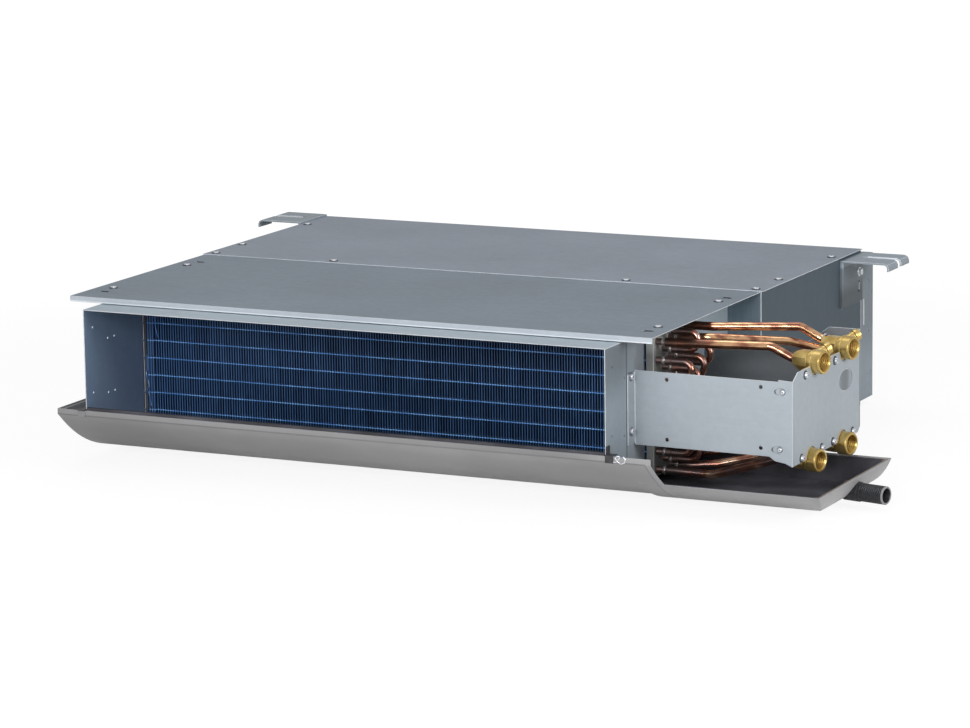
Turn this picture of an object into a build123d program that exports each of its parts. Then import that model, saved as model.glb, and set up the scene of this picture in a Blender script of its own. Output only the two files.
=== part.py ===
from build123d import *
from math import cos, exp, log, pi, radians, sin
import os

# A four-pipe fan coil unit for hanging in a ceiling. Working frame, in millimetres: x runs along the unit
# from the left edge of the front cover, y runs from the cover's front lip to the rear, and z is up from
# the top face of the front cover. At the end everything moves so that the origin is at the middle of the
# underside of the whole unit.

# Sheet metal
sheet = 1.2
bracket_sheet = 1.5
pan_sheet = 1.5
touch_gap = 0.3

# Duct and covers
duct_width = 802.0
left_overhang = 50.0
right_overhang = 47.0
duct_reach = 48.0
left_plate_slot_width = 4.0
left_plate_slot_inset = 6.5
left_plate_bridge = 4.0
left_plate_bridge_rows = (1, 2, 3, 5, 6)
duct_drop = 9.0
lip_drop = 8.0
front_depth = 381.0
cover_lap = 22.0
rear_depth = 395.0
cabinet_height = 237.0
rear_cover_overhang = 2.5

# Slots and screws of the covers
cover_slot_length = 20.0
cover_slot_width = 9.0
cover_slot_inset = 27.0
cover_slot_front = 46.0
cover_slot_rear = 319.0
cover_screw_inset = 25.0
cover_screw_front = 78.0
cover_screw_rear = 288.0
screw_shank = 4.2
screw_head = 9.0
screw_washer = 13.0
screw_head_height = 2.6
washer_thickness = 0.9

# Outlet side plates
left_plate_end = 116.0
right_plate_end = 79.0
plate_toe_drop = 151.0
plate_foot_drop = 203.0
plate_foot_start = 60.0
rail_rear = 22.0
wall_flange = 38.0

# Coil
coil_front = 118.0
column_pitch = 22.0
column_count = 4
row_pitch = 25.4
row_count = 8
first_row = 30.0
row_stagger = 12.7
tube_diameter = 9.52
tube_wall = 0.9
tube_hole_clearance = 0.1
fin_top = 11.0
coil_end_gap = 4.0
end_plate_flange = 11.0
fin_end_gap = 1.5
fin_pitch = 8.0
fin_slot = 2.4
fin_slot_depth = 3.0
stub_length = 19.0
hairpin_reach = 5.0
collar_diameter = 12.0
collar_length = 3.5
collar_lap = 6.0
bend_straight = 20.0

# Fan section
deck_flange = 24.0
side_flange = 22.0
intake_depth = 52.0
intake_lip = 20.0
intake_top = 12.0
intake_bottom = 231.0
intake_slot_reach = 12.0
intake_slot_drop = 97.0
intake_slot_width = 4.0
intake_slot_height = 40.0
intake_holes = ((32.0, 52.0), (46.0, 70.0), (34.0, 128.0), (41.0, 192.0))
fan_axis_reach = 149.0
fan_axis_z = -117.0
wheel_radius = 75.0
blade_depth = 16.0
blade_count = 30
blade_thickness = 1.2
wheel_width = 176.0
wheel_ring = 2.5
hub_radius = 16.0
hub_length = 22.0
scroll_start = 83.0
scroll_end = 108.0
scroll_width = 198.0
scroll_sheet = 1.0
outlet_top = 15.0
inlet_radius = 60.0
inlet_lip = 4.0
fan_offset = 234.0
shaft_diameter = 12.0
shaft_clearance = 0.05
motor_radius = 52.0
motor_length = 112.0
motor_nose = 9.0
motor_nose_radius = 22.0
cradle_width = 70.0
cradle_plate = 2.0
band_width = 14.0
band_thickness = 1.0
capacitor_radius = 17.5
capacitor_length = 68.0
box_depth = 52.0
box_setback = 69.0
box_length = 150.0
box_top = -60.0
box_bottom = -180.0
box_wall = 1.2
box_lid_overlap = 8.0

# Hangers
hanger_plate = 2.5
hanger_width = 88.0
hanger_past_cover = 1.0
hanger_reach = 76.0
hanger_slot_width = 13.0
hanger_slot_reach = 52.0
hanger_tip_drop = 12.0
hanger_tip_radius = 7.0
hanger_foot = 72.0
left_hanger_top = 3.9
right_hanger_top = -4.0
hanger_ridge_width = 5.0
hanger_bolt_inset = 15.0
hanger_bolt_drop = 27.0
hanger_bolt = 6.0
hanger_bolt_head = 11.0
adjust_slot_length = 18.0
adjust_slot_width = 6.5

# Valve bracket
bracket_front_reach = 73.0
bracket_depth = 252.0
bracket_reach = 228.0
bracket_top = 54.0
bracket_bottom = 156.0
bracket_side_top = 44.7
bracket_side_bottom = 169.0
bracket_rear_top = 26.0
bracket_flange = 24.0
bracket_low_top = 52.0
bracket_tab = 20.0
bracket_step = 33.0
bracket_pocket_length = 20.0
bracket_pocket_width = 9.0
bracket_pocket_depth = 0.7
pocket_screw_head = 4.6
rear_plate_slope_start = 80.0
rear_plate_slope_end = 45.0
knockout_reach = 124.0
knockout_drop = 87.0
knockout_width = 49.0
knockout_height = 31.0

# Brass unions and air vents
union_tilt = 12.5
union_bore = 24.1
union_diameter = 32.0
union_nose = 15.0
union_tail = 31.0
union_body = 29.0
union_passage = 18.0
bore_depth = 18.0
union_hole_clearance = 2.0
ear_spacing = 74.0
ear_width = 15.0
ear_thickness = 3.0
top_ear_drop = 12.0
low_ear_rise = 9.0
top_union_drop = 41.0
low_union_drop = 172.0
top_front_union_reach = 10.0
top_rear_union_reach = 119.0
low_front_union_reach = -4.0
low_rear_union_reach = 112.0
union_screw_head = 8.5
vent_boss = 14.0
vent_length = 30.0
vent_cap = 17.0
vent_cap_length = 8.0
vent_stem = 6.0
vent_stem_length = 9.0
vent_root = 14.0
vent_direction = Vector(0.62, 0.68, 0.39)
header_diameter = 12.0
header_wall = 1.2
header_bend = 20.0
header_spread = 7.2
header_socket = 6.0
header_lap = 7.0
pipe_fit = 0.05

# Where each header pipe bends: a step from the tube end that it starts at, and one from the union's tail
upper_heating_bends = (None, (-27.9, -6.0, 15.5))
lower_heating_bends = ((61.8, 2.0, -1.2), (-53.9, 4.0, -18.0))
upper_cooling_high_bends = ((36.8, 2.0, -0.2), (-27.9, -7.0, 16.8))
upper_cooling_low_bends = ((36.8, 3.0, 1.0), (-38.9, -19.0, 12.2))
lower_cooling_high_bends = ((36.8, 5.0, 3.1), (-58.9, -14.0, -7.2))
lower_cooling_low_bends = ((46.8, 11.0, 1.8), (-51.9, -20.0, -10.8))

# Drain pan
pan_left_reach = 46.0
pan_right_reach = 65.0
pan_front_gap = 2.0
pan_rear_reach = 58.0
pan_rim = 153.0
pan_band = 8.0
pan_floor_gap = 21.8
pan_curve_rise = 25.0
pan_curve_start = 54.0
pan_curve_middle = 110.0
pan_curve_end = 200.0
pan_slope_start = 60.0
wall_notch = 8.0
plenum_lip = 14.0
clip_width = 12.0
clip_sheet = 1.0
clip_drop = 9.0
extension_lap = 37.0
extension_reach = 58.0
extension_rim = 195.5
extension_drop = 4.0
extension_lean = 12.0
extension_round = 70.0
extension_corner = 30.0
liner = 5.0
liner_rim_gap = 2.0
liner_rise = 4.0
spout_diameter = 25.0
spout_root_diameter = 27.0
spout_shoulder = 24.0
spout_chamfer = 0.8
spout_wall = 2.6
spout_length = 64.0
spout_inset = 24.0
spout_reach = 37.0
spout_rise = 17.0
spout_fit = 0.05

# Places that follow from the sizes above
duct_left = left_overhang
duct_right = duct_left + duct_width
cover_length = duct_right + right_overhang
cover_under = -sheet
duct_top = -duct_drop
side_left = -touch_gap - sheet
side_right = cover_length + touch_gap + sheet
fan_front = front_depth
fan_rear = front_depth + rear_depth
intake_rear = fan_rear + intake_depth
floor = -cabinet_height
columns = [coil_front + column_pitch * (n + 0.5) for n in range(column_count)]
coil_rear = coil_front + column_count * column_pitch + 1
fin_bottom = fin_top + row_count * row_pitch
left_sheet = duct_left + coil_end_gap
right_sheet = duct_right - coil_end_gap + sheet
sheet_bottom = -(fin_bottom + 3)
fan_axis_y = fan_front + fan_axis_reach
box_start = fan_front + box_setback
box_end = box_start + box_length
hanger_end = fan_rear + hanger_past_cover
hanger_start = hanger_end - hanger_width
hanger_bolt_y = hanger_end - hanger_bolt_inset
bracket_side = duct_right + bracket_reach
bracket_front = coil_front - bracket_front_reach
bracket_rear = bracket_front + bracket_depth
top_front_union = (coil_front + top_front_union_reach, -top_union_drop)
top_rear_union = (coil_front + top_rear_union_reach, -top_union_drop)
low_front_union = (coil_front + low_front_union_reach, -low_union_drop)
low_rear_union = (coil_front + low_rear_union_reach, -low_union_drop)
pan_left = duct_left - pan_left_reach
pan_right = duct_right + pan_right_reach
pan_front = duct_reach + pan_front_gap
pan_rear = coil_rear + pan_rear_reach
pan_depth = fin_bottom + pan_floor_gap
extension_start = pan_right - extension_lap
extension_right = bracket_side + extension_reach
spout_root = (extension_right - spout_inset, coil_front + spout_reach, -pan_depth + spout_rise)
fan_centres = [cover_length / 2 - fan_offset, cover_length / 2 + fan_offset]
union_axis = Vector(cos(radians(union_tilt)), -sin(radians(union_tilt)), 0)


def block(x, y, z):
    """A box between the given (low, high) pairs."""
    ranges = [sorted(pair) for pair in (x, y, z)]
    size = [high - low for low, high in ranges]
    centre = [(high + low) / 2 for low, high in ranges]
    return Pos(*centre) * Box(*size)


def along_x(outline, x):
    """A solid with the closed outline of (y, z) points, between two x values."""
    face = make_face(Polyline(*[(x[0], y, z) for y, z in outline], close=True))
    return extrude(face, amount=x[1] - x[0], dir=(1, 0, 0))


def along_y(outline, y):
    """A solid with the closed outline of (x, z) points, between two y values."""
    face = make_face(Polyline(*[(px, y[0], pz) for px, pz in outline], close=True))
    return extrude(face, amount=y[1] - y[0], dir=(0, 1, 0))


def rod(start, direction, length, radius):
    """A round bar from a point along a direction."""
    return extrude(Plane(origin=start, z_dir=direction) * Circle(radius), amount=length)


def turned(profile, origin, direction):
    """A body of revolution: profile is (radius, distance along the axis) points."""
    face = make_face(Polyline(*[(r, 0, s) for r, s in profile], close=True))
    body = revolve(face, Axis.Z)
    return Plane(origin=origin, z_dir=direction).location * body


def group(solids):
    """Separate solids kept as one node."""
    return Compound(children=[part for part in solids])


def washer_screw(point, direction, shank_length, head=screw_head):
    """A washer-head screw with its washer's underside at the point, pointing out along the direction."""
    washer = head + screw_washer - screw_head
    profile = [
        (0, -shank_length),
        (screw_shank / 2, -shank_length),
        (screw_shank / 2, 0),
        (washer / 2, 0),
        (washer / 2, washer_thickness),
        (head / 2, washer_thickness),
        (head / 2, washer_thickness + screw_head_height * 0.6),
        (head / 2 - 1, washer_thickness + screw_head_height),
        (0, washer_thickness + screw_head_height),
    ]
    return turned(profile, point, direction)


# Covers

def front_screw_points():
    """Where the front cover is screwed to the flanges of the walls beside the duct."""
    sides = (cover_screw_inset, cover_length - cover_screw_inset)
    return [(x, y) for x in sides for y in (cover_screw_front, cover_screw_rear)]


def deck_screw_points():
    """Where both covers are screwed to the flange of the fan deck."""
    y = fan_front + cover_lap * 0.6
    return [(x, y) for x in (14.0, 214.0, cover_length - 212.0, cover_length - 12.0)]


def side_screw_points():
    """Where the rear cover is screwed to the flanges of the fan section's sides."""
    sides = (side_left + side_flange / 2 + 2, side_right - side_flange / 2 - 2)
    return [(x, y) for x in sides for y in (fan_front + 98.0, fan_rear - 88.0)]


def screw_hole(x, y, top, bottom):
    return Pos(x, y, (top + bottom) / 2) * Cylinder(screw_shank / 2, top - bottom)


def front_cover():
    plate = block((0, cover_length), (0, front_depth + cover_lap), (cover_under, 0))
    lip = block((0, cover_length), (0, sheet), (-lip_drop, 0))
    cover = plate + lip
    for x in (cover_slot_inset, cover_length - cover_slot_inset):
        for y in (cover_slot_front, cover_slot_rear):
            slot = extrude(SlotOverall(cover_slot_length, cover_slot_width), amount=3 * sheet, both=True)
            cover -= Pos(x, y, 0) * slot
    for x, y in front_screw_points() + deck_screw_points():
        cover -= screw_hole(x, y, sheet, -2 * sheet)
    return cover


def rear_cover():
    cover = block(
        (side_left, side_right + rear_cover_overhang),
        (fan_front, fan_rear),
        (0, sheet),
    )
    for x, y in deck_screw_points() + side_screw_points():
        cover -= screw_hole(x, y, 2 * sheet, -sheet)
    return cover


def cover_screws():
    shank = 2 * sheet
    screws = [washer_screw((x, y, 0), (0, 0, 1), shank) for x, y in front_screw_points()]
    screws += [washer_screw((x, y, sheet), (0, 0, 1), shank + sheet) for x, y in deck_screw_points()]
    screws += [washer_screw((x, y, sheet), (0, 0, 1), shank) for x, y in side_screw_points()]
    return group(screws)


# Outlet duct and the walls beside the coil

def outlet_rail():
    """The Z-shaped rail under the cover's lip: top leg, web and the flange that projects to the front."""
    span = (duct_left, duct_right)
    web_y = duct_drop
    flange = block(span, (-duct_reach, web_y), (duct_top - sheet, duct_top))
    web = block(span, (web_y - sheet, web_y), (duct_top - sheet, cover_under))
    leg = block(span, (web_y - sheet, rail_rear), (cover_under - sheet, cover_under))
    return flange + web + leg


def plate_outline(end):
    """Side view of an outlet plate. Its toe and foot follow the slope of the pan below it."""
    return [
        (-duct_reach, duct_top - sheet),
        (-duct_reach, 1.5 - pan_rim),
        (clip_width - duct_reach, 1.5 - pan_rim),
        (clip_width - duct_reach + 2, duct_top - plate_toe_drop),
        (plate_foot_start, duct_top - plate_foot_drop),
        (end, duct_top - plate_foot_drop),
        (end, cover_under),
        (rail_rear + touch_gap, cover_under),
        (rail_rear + touch_gap, duct_top - sheet),
    ]


def plate_holes(x):
    """Six small fixing holes, three above and three below."""
    upper = [(-25.0, 38.0), (15.0, 60.0), (33.0, 60.0)]
    lower = [(-27.0, 131.0), (13.0, 138.0), (31.0, 138.0)]
    return [Pos(x, y, -z) * Rotation(0, 90, 0) * Cylinder(1.8, 4 * sheet) for y, z in upper + lower]


def top_flange(wall, side, y):
    """The flange at the top of a wall, turned outward under the cover. side is -1 left, 1 right."""
    flange = block((wall, wall + side * wall_flange), y, (cover_under - sheet, cover_under))
    for x, sy in front_screw_points():
        flange -= screw_hole(x, sy, 0, -3 * sheet)
    return flange


def left_outlet_plate():
    plate = along_x(plate_outline(left_plate_end), (duct_left, duct_left + sheet))
    for hole in plate_holes(duct_left):
        plate -= hole
    slot_y = (left_plate_end - left_plate_slot_inset, left_plate_end - left_plate_slot_inset + left_plate_slot_width)
    bridges = [-first_row - row * row_pitch for row in left_plate_bridge_rows]
    tops = [-duct_drop - 3 * sheet] + [z - left_plate_bridge / 2 for z in bridges]
    bottoms = [z + left_plate_bridge / 2 for z in bridges] + [-plate_foot_drop]
    for high, low in zip(tops, bottoms):
        plate -= block((duct_left - sheet, duct_left + 2 * sheet), slot_y, (low, high))
    return plate + top_flange(duct_left, -1, (cover_slot_front + 14, left_plate_end))


def right_outlet_plate():
    plate = along_x(plate_outline(right_plate_end), (duct_right - sheet, duct_right))
    for hole in plate_holes(duct_right):
        plate -= hole
    flange_x = duct_right - sheet
    return plate + top_flange(flange_x, 1, (cover_slot_front + 14, cover_screw_front + 12))


def coil_wall(x, side):
    """The wall behind the coil's end plate, back to the fan deck."""
    wall = block((x, x - side * sheet), (coil_rear + 2, fan_front), (floor, cover_under))
    wall -= block((x - 5, x + 5), (coil_rear, pan_rear + wall_notch), (floor - 1, sheet_bottom))
    notch_y = (pan_rear - wall_notch, pan_rear + wall_notch)
    wall -= block((x - 5, x + 5), notch_y, (floor - 1, touch_gap - extension_rim))
    return wall + top_flange(x, side, (coil_rear + 2, cover_slot_rear - 14))


def plenum_floor():
    """The underside between the pan and the fan section, with an edge turned up behind the pan."""
    x = (left_sheet + sheet, right_sheet - sheet)
    y = (pan_rear + wall_notch, fan_front)
    return block(x, y, (floor, floor + sheet)) + block(x, (y[0], y[0] + sheet), (floor, floor + plenum_lip))


def left_coil_wall():
    return coil_wall(left_sheet, -1)


def right_coil_wall():
    return coil_wall(right_sheet, 1)


# Coil

def tube_places():
    """Every tube as (column, row, y, z). Every other column is half a row higher."""
    places = []
    for column, y in enumerate(columns):
        lift = row_stagger * (column % 2)
        for row in range(row_count):
            places.append((column, row, y, -first_row + lift - row * row_pitch))
    return places


def tube_z(column, row):
    return [z for c, r, y, z in tube_places() if (c, r) == (column, row)][0]


def tube_bores(places, x, radius):
    return [rod((x[0], y, z), (1, 0, 0), x[1] - x[0], radius) for c, r, y, z in places]


def end_plate(x, inward):
    """A tube sheet: a channel with flanges turned toward the fins, bored for the tubes."""
    web = block((x, x + inward * sheet), (coil_front, coil_rear), (sheet_bottom, cover_under))
    deep = (x, x + inward * end_plate_flange)
    front = block(deep, (coil_front, coil_front + sheet), (sheet_bottom, cover_under))
    rear = block(deep, (coil_rear - sheet, coil_rear), (sheet_bottom, cover_under))
    plate = web + front + rear
    radius = tube_diameter / 2 + tube_hole_clearance
    for bore in tube_bores(tube_places(), (x - 2 * sheet, x + 2 * sheet), radius):
        plate -= bore
    return plate


def left_end_plate():
    return end_plate(left_sheet, 1)


def right_end_plate():
    plate = end_plate(right_sheet, -1)
    return plate - rod((right_sheet - 3, columns[0] + 10, tube_z(0, 6) - row_stagger + 5), (1, 0, 0), 6, 3.5)


def fin_pack(first_column, last_column, grooved_front):
    """Fins as one pack with an open comb on its outer face, bored for its own tubes."""
    x = (left_sheet + sheet + fin_end_gap, right_sheet - sheet - fin_end_gap)
    front = coil_front + sheet + touch_gap + first_column * column_pitch
    rear = coil_front + (last_column + 1) * column_pitch - sheet + touch_gap
    pack = block(x, (front, rear), (-fin_bottom, -fin_top))
    face = front if grooved_front else rear - fin_slot_depth
    grooves = int((x[1] - x[0]) / fin_pitch)
    start = (x[0] + x[1] - (grooves - 1) * fin_pitch) / 2
    cuts = [
        block(
            (start + n * fin_pitch - fin_slot / 2, start + n * fin_pitch + fin_slot / 2),
            (face, face + fin_slot_depth),
            (-fin_bottom - 1, -fin_top + 1),
        )
        for n in range(grooves)
    ]
    places = [p for p in tube_places() if first_column <= p[0] <= last_column]
    cuts += tube_bores(places, (x[0] - 1, x[1] + 1), tube_diameter / 2 + tube_hole_clearance)
    return pack - cuts


def heating_fins():
    return fin_pack(0, 0, True)


def cooling_fins():
    return fin_pack(1, column_count - 1, False)


def u_bend(start, end, straight, side):
    """The centre line of a U between two tube ends. side is 1 to the right, -1 to the left."""
    a = Vector(*start)
    b = Vector(*end)
    out = Vector(side * straight, 0, 0)
    crown = (a + b) * 0.5 + out + Vector(side * (a - b).length / 2, 0, 0)
    return Wire([Line(a, a + out), ThreePointArc(a + out, crown, b + out), Line(b + out, b)])


def hairpin(first, second):
    """A hollow tube that runs through the coil, turns at the left end and comes back."""
    right = right_sheet + stub_length
    path = u_bend((right, *first), (right, *second), right - left_sheet + hairpin_reach, -1)
    start = Plane(origin=(right, *first), z_dir=(-1, 0, 0))
    outer = sweep(start * Circle(tube_diameter / 2), path=path)
    inner = sweep(start * Circle(tube_diameter / 2 - tube_wall), path=path)
    return outer - inner


def tube_end(column, row):
    """The place of a tube as (y, z)."""
    return (columns[column], tube_z(column, row))


def level_hairpins(column):
    """Hairpins that join the rows of one column two by two."""
    return [hairpin(tube_end(column, row), tube_end(column, row + 1)) for row in range(0, row_count, 2)]


def heating_hairpins():
    return group(level_hairpins(0))


def cooling_hairpins():
    """The last column has its own hairpins; the two before it are joined across, row by row."""
    across = [hairpin(tube_end(1, row), tube_end(2, row)) for row in range(row_count)]
    return group(across + level_hairpins(column_count - 1))


def return_bend(first, second):
    """A U-bend brazed over two tube ends, with a collar at each end."""
    x = right_sheet + stub_length
    path = u_bend((x, *first), (x, *second), bend_straight, 1)
    body = sweep(Plane(origin=(x, *first), z_dir=(1, 0, 0)) * Circle(tube_diameter / 2), path=path)
    for y, z in (first, second):
        body += rod((x - collar_lap, y, z), (1, 0, 0), collar_lap + collar_length, collar_diameter / 2)
        body -= rod((x - collar_lap - 1, y, z), (1, 0, 0), collar_lap + 1, tube_diameter / 2 + pipe_fit)
    return body


def return_bends():
    starts = {0: range(1, row_count - 1, 2), 1: range(0, row_count, 2)}
    bends = []
    for column in range(column_count):
        for row in starts[1 if column == 1 else 0]:
            bends.append(return_bend(tube_end(column, row), tube_end(column, row + 1)))
    return group(bends)


# Header pipes between the coil and the unions

def union_point(place, back):
    """A point on a union's axis, back from the outer face of the bracket."""
    root = Vector(bracket_side, place[0], place[1])
    return root - union_axis * back


def header_pipe(column, row, bends, place, rise):
    """A copper pipe from a tube end of the coil, by its bends, into the tail of a union."""
    y, z = tube_end(column, row)
    tip = Vector(right_sheet + stub_length, y, z)
    start = tip - Vector(header_lap, 0, 0)
    lift = Vector(0, 0, rise)
    end = union_point(place, union_tail - header_socket) + lift
    before = union_point(place, union_tail + header_diameter / 2) + lift
    straight = start + Vector(header_lap + header_diameter, 0, 0)
    near, far = bends
    middle = [tip + Vector(*near)] if near else []
    middle.append(before + Vector(*far))
    path = FilletPolyline(start, straight, *middle, before, end, radius=header_bend)
    first = Plane(origin=start, z_dir=(1, 0, 0))
    outer = sweep(first * Circle(header_diameter / 2), path=path)
    inner = sweep(first * Circle(header_diameter / 2 - header_wall), path=path)
    return outer - inner


def upper_heating_pipe():
    return header_pipe(0, 0, upper_heating_bends, top_front_union, 0.0)


def lower_heating_pipe():
    return header_pipe(0, row_count - 1, lower_heating_bends, low_front_union, 0.0)


def upper_cooling_pipes():
    high = header_pipe(3, 0, upper_cooling_high_bends, top_rear_union, header_spread)
    low = header_pipe(2, 0, upper_cooling_low_bends, top_rear_union, -header_spread)
    return group([high, low])


def lower_cooling_pipes():
    last = row_count - 1
    high = header_pipe(3, last, lower_cooling_high_bends, low_rear_union, header_spread)
    low = header_pipe(2, last, lower_cooling_low_bends, low_rear_union, -header_spread)
    return group([high, low])


# Unions, air vents and the bracket that holds them

def union_ear(place, ear_lift):
    """The flat oval flange by which a union is screwed to the back of the bracket's side plate."""
    face_x = bracket_side - bracket_sheet - ear_thickness
    y, z = place[0], place[1] + ear_lift
    sketch = SlotCenterToCenter(ear_spacing, ear_width)
    oval = extrude(Plane(origin=(face_x, y, z), x_dir=(0, 1, 0), z_dir=(1, 0, 0)) * sketch, amount=ear_thickness)
    for ear_y in (y - ear_spacing / 2, y + ear_spacing / 2):
        oval -= rod((face_x - 1, ear_y, z), (1, 0, 0), ear_thickness + 2, screw_shank / 2)
    return oval


def union_inside(place, pipe_rises):
    """What is cut out of a union: its threaded bore and passage, and a socket for each pipe."""
    core = [
        (0, -union_tail + header_socket + 1),
        (union_passage / 2, -union_tail + header_socket + 1),
        (union_passage / 2, union_nose - bore_depth - 3),
        (union_bore / 2, union_nose - bore_depth),
        (union_bore / 2, union_nose + 1),
        (0, union_nose + 1),
    ]
    cuts = [turned(core, union_point(place, 0), union_axis)]
    for rise in pipe_rises:
        mouth = union_point(place, union_tail + 1) + Vector(0, 0, rise)
        radius = header_diameter / 2 + pipe_fit
        cuts.append(rod(mouth, union_axis, header_socket + 3, radius))
    return cuts


def union_body_solid(place, ear_lift):
    """A union without its inside: a barrel, the collar with the thread, and the ears."""
    rim = union_diameter / 2
    body = union_body / 2
    outer = [
        (0, -union_tail),
        (body - 2.5, -union_tail),
        (body, -union_tail + 3),
        (body, -2),
        (rim, -1),
        (rim, union_nose - 1.5),
        (rim - 1.5, union_nose),
        (0, union_nose),
    ]
    return turned(outer, union_point(place, 0), union_axis) + union_ear(place, ear_lift)


def vent_start(place):
    return union_point(place, vent_root)


def top_union(place, pipe_rises):
    """An upper union, with the slanted boss for the air vent."""
    start = vent_start(place)
    solid = union_body_solid(place, -top_ear_drop) + rod(start, vent_direction, vent_length, vent_boss / 2)
    solid -= union_inside(place, pipe_rises)
    well = start + vent_direction.normalized() * (vent_length - vent_stem_length - 1)
    return solid - rod(well, vent_direction, vent_stem_length + 2, vent_stem / 2 + shaft_clearance)


def low_union(place, pipe_rises):
    return union_body_solid(place, low_ear_rise) - union_inside(place, pipe_rises)


def top_front_union_body():
    return top_union(top_front_union, [0.0])


def top_rear_union_body():
    return top_union(top_rear_union, [header_spread, -header_spread])


def low_front_union_body():
    return low_union(low_front_union, [0.0])


def low_rear_union_body():
    return low_union(low_rear_union, [header_spread, -header_spread])


def vent_cap_solid(place):
    """A hexagon cap with a round collar and the stem that turns in the boss."""
    seat = vent_start(place) + vent_direction.normalized() * (vent_length + touch_gap)
    plane = Plane(origin=seat, z_dir=vent_direction)
    collar = extrude(plane * Circle(vent_cap / 2), amount=vent_cap_length * 0.4)
    crown = extrude(plane.offset(vent_cap_length * 0.4) * RegularPolygon(vent_cap / 2 - 1, 12),
                    amount=vent_cap_length * 0.6)
    slot = extrude(plane.offset(vent_cap_length - 1.2) * Rectangle(vent_cap, 1.4), amount=2)
    stem = extrude(plane * Circle(vent_stem / 2), amount=-vent_stem_length - touch_gap)
    return collar + crown + stem - slot


def front_vent_cap():
    return vent_cap_solid(top_front_union)


def rear_vent_cap():
    return vent_cap_solid(top_rear_union)


def bracket_side_outline():
    return [
        (bracket_front, -bracket_top - 2.5),
        (bracket_front + 20, -bracket_side_top),
        (bracket_rear - 14, -bracket_side_top),
        (bracket_rear - 8, -bracket_rear_top - 4),
        (bracket_rear, -bracket_rear_top),
        (bracket_rear, -bracket_side_bottom + 7),
        (bracket_rear - 8, -bracket_side_bottom),
        (bracket_front, -bracket_side_bottom),
    ]


def union_places():
    """Each union's place with the height of its ears."""
    return [
        (top_front_union, -top_ear_drop),
        (top_rear_union, -top_ear_drop),
        (low_front_union, low_ear_rise),
        (low_rear_union, low_ear_rise),
    ]


def union_screw_points():
    points = []
    for place, lift in union_places():
        for side in (-1, 1):
            points.append((place[0] + side * ear_spacing / 2, place[1] + lift))
    return points


def valve_bracket():
    """One folded plate: front, side and rear, with a flange at each end."""
    t = bracket_sheet
    edge = duct_right
    front_z = [
        (edge + t, -bracket_top),
        (bracket_side - bracket_tab, -bracket_top - 1.5),
        (bracket_side - bracket_tab, -bracket_top + 1.0),
        (bracket_side, -bracket_top),
        (bracket_side, -bracket_side_bottom),
        (bracket_side - bracket_step * 0.3, -bracket_bottom - 9),
        (bracket_side - bracket_step * 0.75, -bracket_bottom - 6.5),
        (bracket_side - bracket_step, -bracket_bottom - 1),
        (edge + t, -bracket_bottom),
    ]
    front = along_y(front_z, (bracket_front, bracket_front + t))
    side = along_x(bracket_side_outline(), (bracket_side - t, bracket_side))
    rear_z = [
        (right_sheet, -bracket_low_top),
        (bracket_side - rear_plate_slope_start, -bracket_low_top),
        (bracket_side - rear_plate_slope_end, -bracket_rear_top),
        (bracket_side, -bracket_rear_top),
        (bracket_side, -bracket_side_bottom + 7),
        (right_sheet, -bracket_bottom),
    ]
    rear = along_y(rear_z, (bracket_rear - t, bracket_rear))
    left = block((edge, edge + t), (bracket_front - bracket_flange + t, bracket_front + t),
                 (-bracket_bottom + 3, -bracket_top - 3))
    back = block((right_sheet, right_sheet + t), (bracket_rear - t, bracket_rear + bracket_flange),
                 (-bracket_bottom, -bracket_low_top))
    bracket = front + side + rear + left + back
    for x in (edge + 48, bracket_side - 45):
        for z in (-bracket_top - 10, -bracket_bottom + 10):
            bracket -= rod((x, bracket_front - 1, z), (0, 1, 0), 2 * t + 2, 2.8)
    for point, outward in bracket_screw_points() + pocket_screw_points():
        bracket -= rod(Vector(*point) + Vector(*outward) * 2, Vector(*outward) * -1, 6, screw_shank / 2)
    for place, lift in union_places():
        hole = rod(union_point(place, 12), union_axis, 20, union_diameter / 2 + union_hole_clearance)
        bracket -= hole & block((bracket_side - t - 1, bracket_side + 1), (0, 600), (-400, 100))
    for y, z in union_screw_points():
        bracket -= rod((bracket_side - t - 1, y, z), (1, 0, 0), t + 2, screw_shank / 2)
    for point, outward in pocket_screw_points():
        floor_y = bracket_front + bracket_pocket_depth
        pocket = Plane(origin=(point[0], floor_y, point[2]), x_dir=(1, 0, 0), z_dir=outward)
        bracket -= extrude(pocket * SlotOverall(bracket_pocket_length, bracket_pocket_width), amount=t)
    ring = Ellipse(knockout_width / 2, knockout_height / 2)
    ring -= Ellipse(knockout_width / 2 - t, knockout_height / 2 - t)
    place = (bracket_side - t / 2, coil_front + knockout_reach, -knockout_drop)
    return bracket - extrude(Plane(origin=place, x_dir=(0, 1, 0), z_dir=(1, 0, 0)) * ring, amount=t)


def bracket_screw_points():
    """The bracket's own screws as (point on the outer face, direction outward)."""
    flange_y = bracket_front - bracket_flange / 2
    face_x = duct_right + bracket_sheet
    rear_y = bracket_rear + bracket_flange / 2
    return [
        ((face_x, flange_y, -bracket_top - 7), (1, 0, 0)),
        ((face_x, flange_y, -bracket_bottom + 20), (1, 0, 0)),
        ((right_sheet + bracket_sheet, rear_y, -bracket_low_top - 12), (1, 0, 0)),
        ((right_sheet + bracket_sheet, rear_y, -bracket_bottom + 12), (1, 0, 0)),
        ((bracket_side - 50, bracket_rear - bracket_sheet, -bracket_rear_top - 14), (0, -1, 0)),
    ]


def pocket_screw_points():
    """The two small screws in the oval pockets of the bracket's front."""
    y = bracket_front + bracket_pocket_depth
    return [
        ((bracket_side - 14, y, -bracket_top - 15), (0, -1, 0)),
        ((bracket_side - 18, y, -bracket_bottom + 9), (0, -1, 0)),
    ]


def bracket_screws():
    screws = [washer_screw(p, d, bracket_sheet) for p, d in bracket_screw_points()]
    shank = bracket_sheet - bracket_pocket_depth
    screws += [washer_screw(p, d, shank, pocket_screw_head) for p, d in pocket_screw_points()]
    return group(screws)


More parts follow.
